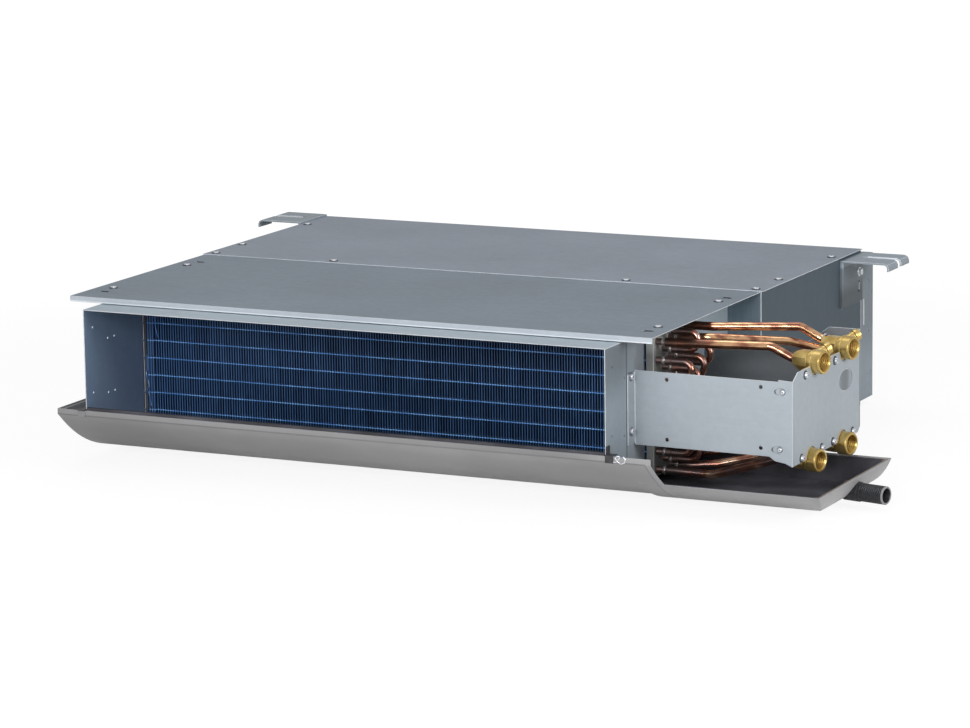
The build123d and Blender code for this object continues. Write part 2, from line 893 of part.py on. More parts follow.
def union_screws():
    screws = []
    for y, z in union_screw_points():
        length = bracket_sheet + ear_thickness
        screws.append(washer_screw((bracket_side, y, z), (1, 0, 0), length, union_screw_head))
    return group(screws)


# Drain pan

def main_top(gap):
    """The top line of the main trough as (y, z) points: level at the front, then down to the rear wall."""
    past = pan_rear + pan_front
    return [
        (-2 * pan_front, -pan_rim - gap),
        (pan_slope_start, -pan_rim - gap),
        (pan_rear, -extension_rim - gap),
        (past, -extension_rim - gap),
    ]


def tray_top(gap):
    """The level top line of the extension."""
    return [(-2 * pan_front, -extension_rim - gap), (pan_rear + pan_front, -extension_rim - gap)]


def pan_section(inset, drop, top_line):
    """Section of the pan in the y-z plane at x = 0, under a top line: an upright band, then a curve to the floor."""
    front = -pan_front + inset
    rear = pan_rear - inset
    low = -pan_depth - drop + inset
    band = -pan_rim - pan_band
    first = (0, pan_curve_start - pan_front + inset, -pan_depth + pan_curve_rise + inset)
    second = (0, pan_curve_middle - pan_front, low)
    last = (0, pan_curve_end - pan_front, low)
    edges = [
        Line((0, front, 0), (0, front, band)),
        Bezier((0, front, band), first, second, last),
        Line(last, (0, rear, low)),
        Line((0, rear, low), (0, rear, 0)),
        Line((0, rear, 0), (0, front, 0)),
    ]
    below = [(pan_rear + pan_front, -2 * pan_depth), (-2 * pan_front, -2 * pan_depth)]
    kept = make_face(Polyline(*[(0, y, z) for y, z in top_line + below], close=True))
    return make_face(Wire(edges)) & kept


def extension_end(inset):
    """The space left of the extension's right face, which leans in and rounds under to the floor."""
    y = pan_rear + pan_front
    left = extension_start - pan_front
    right = extension_right - inset
    low = -pan_depth - extension_drop + inset
    top = -extension_rim + pan_band
    edges = [
        Line((left, y, top), (right, y, top)),
        Line((right, y, top), (right, y, -extension_rim)),
        Bezier(
            (right, y, -extension_rim),
            (right - extension_lean, y, -extension_rim - 30),
            (right - extension_lean - 20, y, low),
            (right - extension_round, y, low),
        ),
        Line((right - extension_round, y, low), (left, y, low)),
        Line((left, y, low), (left, y, top)),
    ]
    return extrude(make_face(Wire(edges)), amount=y + 2 * pan_front, dir=(0, -1, 0))


def outside_corner(inset):
    """What the rounding of the extension's front right corner takes away, seen from above."""
    x = extension_right - extension_corner
    y = extension_corner - pan_front
    radius = extension_corner - inset
    heights = (-2 * pan_depth, 0)
    square = block((x, x + 2 * extension_corner), (y - 2 * extension_corner, y), heights)
    return square - rod((x, y, -2 * pan_depth), (0, 0, 1), 2 * pan_depth, radius)


def pan_space(inset, top_gap):
    """The pan's main trough and its lower, deeper extension, as one solid shrunk by the inset."""
    main = extrude(
        Pos(pan_left + inset, 0, 0) * pan_section(inset, 0, main_top(top_gap)),
        amount=pan_right - pan_left - 2 * inset,
        dir=(1, 0, 0),
    )
    tray = extrude(
        Pos(extension_start + inset, 0, 0) * pan_section(inset, extension_drop, tray_top(top_gap)),
        amount=extension_right - extension_start - inset,
        dir=(1, 0, 0),
    )
    return main + ((tray & extension_end(inset)) - outside_corner(inset))


def end_opening(inset):
    """The pan's right end is open above the extension, behind the slope of the front profile."""
    section = pan_section(inset, 0, main_top(-1))
    through = extrude(Pos(pan_right - 10, 0, 0) * section, amount=20, dir=(1, 0, 0))
    return through & block((0, 2 * pan_right), (-2 * pan_front, pan_rear - inset), (-extension_rim - 1, 0))


def spout_point(back):
    """A point on the spout's axis, measured from its inner end."""
    return Vector(*spout_root) + union_axis * back


def spout_hole():
    return rod(spout_point(-1), union_axis, spout_length, spout_root_diameter / 2 + spout_fit)


def drain_pan():
    return pan_space(0, 0) - pan_space(pan_sheet, -1) - end_opening(pan_sheet) - spout_hole()


def pan_liner():
    """Foam inside the pan. Along the outlet its edge stands a little above the pan's rim."""
    inside = pan_sheet + liner
    body = pan_space(pan_sheet, liner_rim_gap) - pan_space(inside, -1) - end_opening(inside)
    strip = block(
        (duct_left + sheet + 2 * touch_gap, duct_right - sheet - 2 * touch_gap),
        (pan_sheet - pan_front, inside - pan_front),
        (-pan_rim - liner_rim_gap - 1, liner_rise - pan_rim),
    )
    return body + strip - end_opening(pan_sheet) - spout_hole()


def drain_spout():
    """A plain tube through the end of the pan, turned a little to the front, with a thicker root."""
    bore = spout_diameter / 2 - spout_wall
    outer = spout_diameter / 2
    root = spout_root_diameter / 2
    profile = [
        (bore, 0),
        (root, 0),
        (root, spout_shoulder),
        (outer, spout_shoulder),
        (outer, spout_length - spout_chamfer),
        (outer - spout_chamfer, spout_length),
        (bore, spout_length),
    ]
    return turned(profile, spout_root, union_axis)


# Fan section

def fan_deck():
    """The wall between the coil and the fans, with a mouth for each blower."""
    inner = (side_left + sheet, side_right - sheet)
    deck = block(inner, (fan_front, fan_front + sheet), (floor, cover_under))
    deck += block(inner, (fan_front, fan_front + deck_flange), (cover_under - sheet, cover_under))
    for x in fan_centres:
        half = scroll_width / 2 - scroll_sheet
        deck -= block((x - half, x + half), (fan_front - 1, fan_front + 2 * sheet), outlet_heights(scroll_sheet))
    for x, y in deck_screw_points():
        deck -= screw_hole(x, y, 0, -3 * sheet)
    return deck


def side_panel(x, inward):
    """A side of the fan section with a flange turned in under the rear cover."""
    flange_y = (front_depth + cover_lap + touch_gap, fan_rear)
    panel = block((x, x + inward * sheet), (fan_front, fan_rear), (floor, 0))
    panel += block((x, x + inward * side_flange), flange_y, (-sheet, 0))
    for sx, sy in side_screw_points():
        panel -= screw_hole(sx, sy, sheet, -3 * sheet)
    bolt = (x - inward, hanger_bolt_y, hanger_height(inward) - hanger_bolt_drop)
    panel -= rod(bolt, (inward, 0, 0), 4 * sheet, hanger_bolt / 2)
    return panel


def left_side_panel():
    return side_panel(side_left, 1)


def right_side_panel():
    return side_panel(side_right, -1)


def floor_panel():
    """The underside of the fan section."""
    inner = (side_left + sheet, side_right - sheet)
    return block(inner, (fan_front + sheet, fan_rear), (floor, floor + sheet))


def intake_frame():
    """The collar at the rear: four walls and a lip turned in, open for the return air."""
    outer = block((side_left, side_right), (fan_rear, intake_rear), (-intake_bottom, -intake_top))
    bore = block(
        (side_left + sheet, side_right - sheet),
        (fan_rear + sheet, intake_rear + 1),
        (-intake_bottom + sheet, -intake_top - sheet),
    )
    mouth = block(
        (side_left + intake_lip, side_right - intake_lip),
        (fan_rear - 1, fan_rear + 2 * sheet),
        (-intake_bottom + intake_lip * 0.6, -intake_top - intake_lip * 0.6),
    )
    frame = outer - bore - mouth
    slot_y = (fan_rear + intake_slot_reach, fan_rear + intake_slot_reach + intake_slot_width)
    slot_z = (-intake_slot_drop - intake_slot_height / 2, -intake_slot_drop + intake_slot_height / 2)
    for x in (side_left, side_right):
        frame -= block((x - 3, x + 3), slot_y, slot_z)
        for reach, drop in intake_holes:
            frame -= Pos(x, fan_rear + reach, -drop) * Rotation(0, 90, 0) * Cylinder(2, 6)
    return frame


# Blowers

def scroll_radius(turn):
    """The scroll's radius grows evenly in proportion over three quarters of a turn."""
    growth = log(scroll_end / scroll_start) / (1.5 * pi)
    return scroll_start * exp(growth * turn)


def outlet_heights(inset):
    low = fan_axis_z - scroll_end
    return (low + inset, fan_axis_z - outlet_top - inset)


def scroll_section(inset, x):
    """Section of the blower housing: a spiral from the tongue over the top to the outlet at the bottom."""
    points = []
    for step in range(13):
        turn = 1.5 * pi * step / 12
        r = scroll_radius(turn) - inset
        points.append((x, fan_axis_y - r * cos(turn), fan_axis_z + r * sin(turn)))
    low, high = outlet_heights(inset)
    mouth_y = fan_front + sheet
    spiral = Spline(*points)
    tongue = (x, fan_axis_y - scroll_start + inset + 4, high)
    edges = [
        spiral,
        Line(points[-1], (x, mouth_y, low)),
        Line((x, mouth_y, low), (x, mouth_y, high)),
        Line((x, mouth_y, high), tongue),
        Line(tongue, points[0]),
    ]
    return make_face(Wire(edges))


def blower_housing(centre):
    half = scroll_width / 2
    outside = extrude(scroll_section(0, centre - half), amount=scroll_width, dir=(1, 0, 0))
    inside = extrude(
        scroll_section(scroll_sheet, centre - half + scroll_sheet),
        amount=scroll_width - 2 * scroll_sheet,
        dir=(1, 0, 0),
    )
    eye = rod((centre - half - 20, fan_axis_y, fan_axis_z), (1, 0, 0), scroll_width + 40, inlet_radius)
    housing = outside - inside - eye
    for side in (-1, 1):
        lip_profile = [
            (inlet_radius, 0),
            (inlet_radius + 1.2, 0),
            (inlet_radius + inlet_lip, inlet_lip),
            (inlet_radius + inlet_lip - 1.2, inlet_lip),
        ]
        face = centre + side * half
        housing += turned(lip_profile, (face, fan_axis_y, fan_axis_z), (side, 0, 0))
    mouth = block((centre - half + scroll_sheet, centre + half - scroll_sheet),
                  (fan_front, fan_front + 4), outlet_heights(scroll_sheet))
    return housing - mouth


def left_blower_housing():
    return blower_housing(fan_centres[0])


def right_blower_housing():
    return blower_housing(fan_centres[1])


def blade_sketch():
    """One forward-curved blade seen along the shaft: a thin crescent between two radii."""
    inner = wheel_radius - blade_depth
    start = (inner, 0)
    end = (wheel_radius - 0.5, blade_depth * 0.55)
    middle = ((inner + wheel_radius) / 2 + 2, 1.0)
    thick = blade_thickness
    outer_arc = ThreePointArc(start, middle, end)
    inner_arc = ThreePointArc(
        (end[0] - thick * 0.7, end[1] + thick * 0.7),
        (middle[0] - thick * 0.5, middle[1] + thick),
        (start[0], thick),
    )
    edges = [outer_arc, Line(outer_arc @ 1, inner_arc @ 0), inner_arc, Line(inner_arc @ 1, outer_arc @ 0)]
    return make_face(Wire(edges))


def blower_wheel(centre):
    """A double-inlet wheel: a ring of forward-curved blades, two end rings and a middle disc with a hub."""
    half = wheel_width / 2
    blade = extrude(blade_sketch(), amount=wheel_width)
    ring_profile = [
        (wheel_radius - blade_depth * 0.45, 0),
        (wheel_radius, 0),
        (wheel_radius, wheel_ring),
        (wheel_radius - blade_depth * 0.45, wheel_ring),
    ]
    origin = (centre - half, fan_axis_y, fan_axis_z)
    place = Plane(origin=origin, x_dir=(0, 1, 0), z_dir=(1, 0, 0)).location
    blades = [place * Rotation(0, 0, 360 * n / blade_count) * blade for n in range(blade_count)]
    disc = rod((centre - 1, fan_axis_y, fan_axis_z), (1, 0, 0), 2, wheel_radius - 2)
    hub = rod((centre - hub_length / 2, fan_axis_y, fan_axis_z), (1, 0, 0), hub_length, hub_radius)
    wheel = disc + hub
    wheel += turned(ring_profile, origin, (1, 0, 0))
    wheel += turned(ring_profile, (centre + half - wheel_ring, fan_axis_y, fan_axis_z), (1, 0, 0))
    wheel += blades
    return wheel - rod((centre - hub_length, fan_axis_y, fan_axis_z), (1, 0, 0), 2 * hub_length,
                       shaft_diameter / 2)


def left_blower_wheel():
    return blower_wheel(fan_centres[0])


def right_blower_wheel():
    return blower_wheel(fan_centres[1])


def fan_shaft():
    start = fan_centres[0] - hub_length / 2 - 4
    length = fan_centres[1] - fan_centres[0] + hub_length + 8
    bar = rod((start, fan_axis_y, fan_axis_z), (1, 0, 0), length, shaft_diameter / 2)
    return bar


def fan_motor():
    """A motor with a shaft at both ends: drum, domed ends and bearing noses."""
    half = motor_length / 2
    nose = half + motor_nose
    bore = shaft_diameter / 2 + shaft_clearance
    profile = [
        (bore, -nose),
        (motor_nose_radius, -nose),
        (motor_nose_radius, -half + 2),
        (motor_radius - 8, -half + 4),
        (motor_radius, -half + 12),
        (motor_radius, half - 12),
        (motor_radius - 8, half - 4),
        (motor_nose_radius, half - 2),
        (motor_nose_radius, nose),
        (bore, nose),
    ]
    return turned(profile, (cover_length / 2, fan_axis_y, fan_axis_z), (1, 0, 0))


def motor_cradle():
    """A folded stand on the floor panel whose two cheeks cradle the motor."""
    middle = cover_length / 2
    x = (middle - cradle_width / 2, middle + cradle_width / 2)
    y = (fan_axis_y - motor_radius, fan_axis_y + motor_radius)
    base_z = floor + sheet
    saddle_top = fan_axis_z - motor_radius * 0.35
    stand = block(x, y, (base_z, base_z + cradle_plate))
    for cheek in x:
        inward = cradle_plate if cheek == x[0] else -cradle_plate
        stand += block((cheek, cheek + inward), y, (base_z, saddle_top))
    seat = rod((x[0] - 1, fan_axis_y, fan_axis_z), (1, 0, 0), cradle_width + 2, motor_radius)
    return stand - seat


def motor_bands():
    """Two steel bands that hold the motor down on its cradle."""
    middle = cover_length / 2
    bands = []
    for side in (-1, 1):
        centre = middle + side * (cradle_width / 2 - cradle_plate - band_width)
        hoop = turned(
            [
                (motor_radius, -band_width / 2),
                (motor_radius + band_thickness, -band_width / 2),
                (motor_radius + band_thickness, band_width / 2),
                (motor_radius, band_width / 2),
            ],
            (centre, fan_axis_y, fan_axis_z),
            (1, 0, 0),
        )
        bands.append(hoop)
    return group(bands)


def run_capacitor():
    """A capacitor standing on the floor panel beside the motor."""
    base = floor + sheet
    place = (cover_length / 2, fan_axis_y + motor_radius + 60, base)
    can = rod(place, (0, 0, 1), capacitor_length, capacitor_radius)
    top = (place[0], place[1], base + capacitor_length)
    for side in (-1, 1):
        can += rod(Vector(*top) + Vector(side * 7, 0, 0), (0, 0, 1), 8, 2.5)
    return can


def terminal_box():
    """The open box for the wiring on the blind side of the fan section."""
    x = (side_left - box_depth, side_left)
    y = (box_start, box_end)
    z = (box_bottom, box_top)
    inner = block((x[0] - 1, x[1] - box_wall), (y[0] + box_wall, y[1] - box_wall),
                  (z[0] + box_wall, z[1] - box_wall))
    box = block(x, y, z) - inner
    gland = rod(((x[0] + x[1]) / 2, (y[0] + y[1]) / 2, z[0] - 1), (0, 0, 1), 4, 10)
    return box - gland


def terminal_box_lid():
    """A pressed lid whose rim goes over the box."""
    x = side_left - box_depth
    gap = touch_gap
    y = (box_start - box_wall - gap, box_end + box_wall + gap)
    z = (box_bottom - box_wall - gap, box_top + box_wall + gap)
    lid = block((x - box_wall, x + box_lid_overlap), y, z)
    hollow = block((x, x + box_lid_overlap + 1), (box_start - gap, box_end + gap),
                   (box_bottom - gap, box_top + gap))
    return lid - hollow


# Hangers

def hanger_height(inward):
    """The left hanger sits higher than the right one. inward is 1 on the left side, -1 on the right."""
    return left_hanger_top if inward > 0 else right_hanger_top


def hanger(x, out):
    """An angle on the side of the unit. Its top flange has an open slot and two turned-down prong tips."""
    top = hanger_height(-out)
    t = hanger_plate
    end = x + out * hanger_reach
    slot_y = (hanger_start + hanger_end) / 2 + 3
    foot = block((x, x + out * t), (hanger_start, hanger_end), (top - hanger_foot, top))
    bend = hanger_tip_radius
    shape = [
        (x, top),
        (end - out * bend, top),
        (end - out * bend * 0.3, top - bend * 0.3),
        (end, top - bend),
        (end, top - hanger_tip_drop),
        (end - out * t, top - hanger_tip_drop),
        (end - out * t, top - bend),
        (end - out * (bend * 0.3 + t * 0.7), top - bend * 0.3 - t * 0.7),
        (end - out * bend, top - t),
        (x, top - t),
    ]
    flange = along_y(shape, (hanger_start, hanger_end))
    open_end = block((end - out * hanger_slot_reach, end + out * 5),
                     (slot_y - hanger_slot_width / 2, slot_y + hanger_slot_width / 2),
                     (top - hanger_tip_drop - 5, top + 1))
    root = rod((end - out * hanger_slot_reach, slot_y, top + 1), (0, 0, -1), t + 2, hanger_slot_width / 2)
    ridge = hanger_ridge_width / 2
    ridge_place = Vector(x + out * t, hanger_start + ridge, top - hanger_foot + ridge)
    edge = rod(ridge_place, (0, 0, 1), hanger_foot - ridge - t / 2, ridge) + Pos(*ridge_place) * Sphere(ridge)
    edge = edge & block((x + out * t / 2, x + out * 20), (hanger_start, hanger_end), (top - hanger_foot, top))
    body = foot + flange + edge - open_end - root
    bolt_z = top - hanger_bolt_drop
    body -= rod((x - out, hanger_bolt_y, bolt_z), (out, 0, 0), t + 2, hanger_bolt / 2)
    slot = SlotOverall(adjust_slot_length, adjust_slot_width)
    face = Plane(origin=(x - out, hanger_bolt_y, bolt_z - 22), x_dir=(0, 0, 1), z_dir=(out, 0, 0))
    return body - extrude(face * slot, amount=t + 2)


def left_hanger():
    return hanger(side_left, -1)


def right_hanger():
    return hanger(side_right, 1)


def hanger_bolt_solid(x, out):
    top = hanger_height(-out)
    seat = (x + out * hanger_plate, hanger_bolt_y, top - hanger_bolt_drop)
    plane = Plane(origin=seat, z_dir=(out, 0, 0))
    head = extrude(plane * RegularPolygon(hanger_bolt_head / 2, 6), amount=5)
    washer = extrude(plane * Circle(hanger_bolt_head / 2 + 1.5), amount=1.2)
    shank = extrude(plane * Circle(hanger_bolt / 2), amount=-hanger_plate - sheet - 8)
    nut_plane = Plane(origin=(x - out * sheet, hanger_bolt_y, seat[2]), z_dir=(-out, 0, 0))
    nut = extrude(nut_plane * RegularPolygon(hanger_bolt_head / 2, 6), amount=5)
    return head + washer + shank + nut


def hanger_bolts():
    return group([hanger_bolt_solid(side_left, -1), hanger_bolt_solid(side_right, 1)])


def pan_clips():
    """Two strips that hang the pan's front rim on the outlet plates."""
    clips = []
    y = (-duct_reach, clip_width - duct_reach)
    for wall, out in ((duct_left, -1), (duct_right, 1)):
        upright = block((wall, wall + out * clip_sheet), y, (-pan_rim, clip_width - pan_rim))
        top = block(
            (wall, wall + out * clip_width),
            (-pan_front - clip_sheet, clip_width - duct_reach),
            (-pan_rim, clip_sheet - pan_rim),
        )
        hook = block(
            (wall, wall + out * clip_width),
            (-pan_front - clip_sheet, -pan_front),
            (-pan_rim - clip_drop, -pan_rim),
        )
        clips.append(upright + top + hook)
    return group(clips)


NODES = {
    "front_cover": front_cover,
    "rear_cover": rear_cover,
    "cover_screws": cover_screws,
    "outlet_rail": outlet_rail,
    "left_outlet_plate": left_outlet_plate,
    "right_outlet_plate": right_outlet_plate,
    "left_coil_wall": left_coil_wall,
    "right_coil_wall": right_coil_wall,
    "plenum_floor": plenum_floor,
    "left_end_plate": left_end_plate,
    "right_end_plate": right_end_plate,
    "heating_fins": heating_fins,
    "cooling_fins": cooling_fins,
    "heating_hairpins": heating_hairpins,
    "cooling_hairpins": cooling_hairpins,
    "return_bends": return_bends,
    "upper_heating_pipe": upper_heating_pipe,
    "lower_heating_pipe": lower_heating_pipe,
    "upper_cooling_pipes": upper_cooling_pipes,
    "lower_cooling_pipes": lower_cooling_pipes,
    "top_front_union": top_front_union_body,
    "top_rear_union": top_rear_union_body,
    "low_front_union": low_front_union_body,
    "low_rear_union": low_rear_union_body,
    "front_vent_cap": front_vent_cap,
    "rear_vent_cap": rear_vent_cap,
    "valve_bracket": valve_bracket,
    "bracket_screws": bracket_screws,
    "union_screws": union_screws,
    "drain_pan": drain_pan,
    "pan_liner": pan_liner,
    "drain_spout": drain_spout,
    "pan_clips": pan_clips,
    "fan_deck": fan_deck,
    "left_side_panel": left_side_panel,
    "right_side_panel": right_side_panel,
    "floor_panel": floor_panel,
    "intake_frame": intake_frame,
    "left_blower_housing": left_blower_housing,
    "right_blower_housing": right_blower_housing,
    "left_blower_wheel": left_blower_wheel,
    "right_blower_wheel": right_blower_wheel,
    "fan_shaft": fan_shaft,
    "fan_motor": fan_motor,
    "motor_cradle": motor_cradle,
    "motor_bands": motor_bands,
    "run_capacitor": run_capacitor,
    "terminal_box": terminal_box,
    "terminal_box_lid": terminal_box_lid,
    "left_hanger": left_hanger,
    "right_hanger": right_hanger,
    "hanger_bolts": hanger_bolts,
}

if __name__ == "__main__":
    os.makedirs("parts", exist_ok=True)
    shapes = {name: make() for name, make in NODES.items()}
    whole = Compound(children=[Compound(shape.wrapped) for shape in shapes.values()]).bounding_box()
    home = Pos(-whole.center().X, -whole.center().Y, -whole.min.Z)
    for name, shape in shapes.items():
        export_step(home * shape, f"parts/{name}.step")
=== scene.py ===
import math
import bmesh
import bpy
from mathutils import Matrix, Vector
from mathutils.geometry import tessellate_polygon


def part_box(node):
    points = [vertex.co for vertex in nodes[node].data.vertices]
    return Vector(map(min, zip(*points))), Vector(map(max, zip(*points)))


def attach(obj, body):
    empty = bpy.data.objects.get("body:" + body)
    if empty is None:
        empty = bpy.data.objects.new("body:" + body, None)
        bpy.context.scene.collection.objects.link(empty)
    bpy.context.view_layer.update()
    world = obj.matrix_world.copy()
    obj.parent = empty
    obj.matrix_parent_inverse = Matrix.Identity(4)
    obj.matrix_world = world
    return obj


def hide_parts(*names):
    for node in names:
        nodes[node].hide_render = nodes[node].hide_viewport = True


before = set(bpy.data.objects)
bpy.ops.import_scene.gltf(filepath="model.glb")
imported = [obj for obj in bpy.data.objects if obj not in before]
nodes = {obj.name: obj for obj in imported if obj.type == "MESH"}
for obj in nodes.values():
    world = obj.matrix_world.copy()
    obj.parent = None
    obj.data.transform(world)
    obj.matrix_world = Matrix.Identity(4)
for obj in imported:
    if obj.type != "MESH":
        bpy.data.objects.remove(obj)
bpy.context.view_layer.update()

# The picture: a long lens from the front right and a little above, on a pale floor under soft lamps.
# The lens, turn and tilt are those of the photograph, so the unit fills the same part of the picture.
yaw, tilt, roll = math.radians(26.0), math.radians(10.9136), math.radians(0.8265)
camera = bpy.data.objects.new("camera", bpy.data.cameras.new("camera"))
bpy.context.scene.collection.objects.link(camera)
stand = (2.442522, -5.18706, 1.21727)
turn = Matrix.Rotation(yaw, 4, "Z") @ Matrix.Rotation(math.pi / 2 - tilt, 4, "X")
turn = turn @ Matrix.Rotation(-roll, 4, "Z")
camera.matrix_world = Matrix.Translation(stand) @ turn
camera.data.lens = 149.494
camera.data.sensor_width = 36.0
camera.data.clip_end = 60.0
bpy.context.scene.camera = camera
bpy.context.scene.view_settings.view_transform = "Standard"


# Studio light: three soft lamps and a plain surround. The surround is white to the camera, dimmer in
# gloss and dimmer still as light, so that the unit shows its own colours on a white ground.
class Wire:
    """A shader socket. Arithmetic on it adds Math nodes, and node() adds any other node."""

    def __init__(self, tree, socket=None):
        self.tree = tree
        self.socket = socket

    def node(self, kind, settings=None, values=None, output=0):
        made = self.tree.nodes.new(kind)
        for name, value in (settings or {}).items():
            if name == "stops":
                ramp = made.color_ramp
                while len(ramp.elements) < len(value):
                    ramp.elements.new(0.5)
                for element, (place, colour) in zip(ramp.elements, value):
                    element.position = place
                    element.color = (*colour, 1.0)
            else:
                setattr(made, name, value)
        for name, value in (values or {}).items():
            if isinstance(value, Wire):
                self.tree.links.new(value.socket, made.inputs[name])
            else:
                made.inputs[name].default_value = value
        return Wire(self.tree, made.outputs[output]) if len(made.outputs) else None

    def math(self, operation, a, b):
        return self.node("ShaderNodeMath", {"operation": operation}, {0: a, 1: b})

    def __add__(self, other):
        return self.math("ADD", self, other)

    def __sub__(self, other):
        return self.math("SUBTRACT", self, other)

    def __rsub__(self, other):
        return self.math("SUBTRACT", other, self)

    def __mul__(self, other):
        return self.math("MULTIPLY", self, other)

    def __truediv__(self, other):
        return self.math("DIVIDE", self, other)

    def __rtruediv__(self, other):
        return self.math("DIVIDE", other, self)

    def low(self, other):
        return self.math("MINIMUM", self, other)

    def high(self, other):
        return self.math("MAXIMUM", self, other)

    def fade(self, start, end):
        """0 where the value is at start, 1 at end, and a smooth change between."""
        return self.node("ShaderNodeMapRange", {"interpolation_type": "SMOOTHSTEP"},
                         {0: self, 1: start, 2: end, 3: 0.0, 4: 1.0})

    def mix(self, first, second):
        """Two colours, mixed by this value."""
        ends = [value if isinstance(value, Wire) else (*value, 1.0) for value in (first, second)]
        return self.node("ShaderNodeMix", {"data_type": "RGBA"}, {0: self, 6: ends[0], 7: ends[1]}, 2)

    __radd__ = __add__
    __rmul__ = __mul__


world = bpy.data.worlds.new("studio")
bpy.context.scene.world = world
world.use_nodes = True
world.node_tree.nodes.clear()
air = Wire(world.node_tree)
rays = {name: air.node("ShaderNodeLightPath", output=name) for name in
        ("Is Camera Ray", "Is Glossy Ray", "Is Transmission Ray")}
seen = rays["Is Camera Ray"].high(rays["Is Transmission Ray"])
as_light, more_in_gloss = 0.34, 0.2
level = seen + (1.0 - seen) * (rays["Is Glossy Ray"] * more_in_gloss + as_light)
glow = air.node("ShaderNodeBackground", values={"Color": (1, 1, 1, 1), "Strength": level})
air.node("ShaderNodeOutputWorld", values={"Surface": glow})


def lamp(name, place, target, size, power):
    """A soft square lamp that faces the target."""
    data = bpy.data.lights.new(name, "AREA")
    data.shape = "RECTANGLE"
    data.size, data.size_y = size
    data.energy = power
    made = bpy.data.objects.new(name, data)
    bpy.context.scene.collection.objects.link(made)
    made.location = place
    made.rotation_euler = (Vector(target) - Vector(place)).to_track_quat("-Z", "Y").to_euler()


lamp("front_lamp", (0.6, -4.2, 1.4), (0.0, -0.3, 0.1), (2.4, 1.2), 102.0)
lamp("side_lamp", (4.0, -1.0, 1.5), (0.4, -0.1, 0.1), (1.8, 1.2), 78.0)
lamp("top_lamp", (-0.4, 0.4, 3.4), (0.0, 0.0, 0.1), (2.2, 2.0), 22.0)


# Floor: a wide pale sheet under the unit. It keeps the unit's soft shadow and grows white with distance,
# as a paper backdrop does.
def mesh_piece(name, vertices, faces, materials=(), slots=None, sharp=None):
    """A mesh object in the row frame. Edges under the sharp angle, in degrees, look smooth."""
    mesh = bpy.data.meshes.new(name)
    mesh.from_pydata(vertices, [], faces)
    for material in materials:
        mesh.materials.append(material)
    if slots:
        mesh.polygons.foreach_set("material_index", slots)
    mesh.validate()
    if sharp:
        mesh.shade_smooth()
        mesh.set_sharp_from_angle(angle=math.radians(sharp))
    made = bpy.data.objects.new(name, mesh)
    bpy.context.scene.collection.objects.link(made)
    return made


reach, level = 30.0, -0.0005
corners = [(-reach, -reach, level), (reach, -reach, level), (reach, reach, level), (-reach, reach, level)]
floor = mesh_piece("floor", corners, [(0, 1, 2, 3)])
floor_finish = bpy.data.materials.new("pale_floor")
floor_finish.use_nodes = True
floor_finish.node_tree.nodes.clear()
ground = Wire(floor_finish.node_tree)
camera_ray = ground.node("ShaderNodeLightPath", output="Is Camera Ray")
glossy_ray = ground.node("ShaderNodeLightPath", output="Is Glossy Ray")
pale = ground.node("ShaderNodeBsdfDiffuse", values={"Color": (0.82, 0.82, 0.82, 1)})
bright = ground.node("ShaderNodeEmission", values={"Color": (1, 1, 1, 1), "Strength": 1.08})
spot = ground.node("ShaderNodeTexCoord", output="Object")
far = ground.node("ShaderNodeVectorMath", {"operation": "LENGTH"}, {0: spot}, 1).fade(1.0, 2.6)
whiter = camera_ray * (0.82 + far * 0.18) + glossy_ray * 0.15
soft = ground.node("ShaderNodeMixShader", values={0: whiter, 1: pale, 2: bright})
ground.node("ShaderNodeOutputMaterial", values={"Surface": soft})
floor.data.materials.append(floor_finish)


# Galvanised sheet: the folded covers, plates and walls of the casing. Zinc dulls to a blue grey with a
# faint spangle, fine rolling lines and slightly lighter patches. Its cut and folded edges take a lighter
# tone: bare steel at the cuts, and a painted highlight along the broken folds. Several sheets' marks
# paint light and shade, as each says.
def finish(name):
    """A new material: its first wire, its shader node and a wire of Object coordinates."""
    material = bpy.data.materials.new(name)
    material.use_nodes = True
    tree = material.node_tree
    tree.nodes.clear()
    first = Wire(tree)
    shader = tree.nodes.new("ShaderNodeBsdfPrincipled")
    first.node("ShaderNodeOutputMaterial", values={"Surface": Wire(tree, shader.outputs[0])})
    place = first.node("ShaderNodeTexCoord", output="Object")
    return material, first, shader, place


def feed(first, shader, **sockets):
    """Sets or links the shader's sockets by name."""
    for name, value in sockets.items():
        socket = shader.inputs[name.replace("_", " ")]
        if isinstance(value, Wire):
            first.tree.links.new(value.socket, socket)
        else:
            socket.default_value = value


def noise(first, place, scale, detail=2.0, stretch=None):
    """A noise wire. stretch gives each axis its own factor."""
    if stretch:
        place = first.node("ShaderNodeMapping", values={"Vector": place, "Scale": stretch})
    return first.node("ShaderNodeTexNoise", values={"Vector": place, "Scale": scale, "Detail": detail})


def bumped(first, height, strength, distance):
    return first.node("ShaderNodeBump", values={"Strength": strength, "Distance": distance, "Height": height})


def dress(material, *names):
    """Gives a material to CAD nodes."""
    for name in names:
        node = nodes[name]
        node.data.materials.clear()
        node.data.materials.append(material)


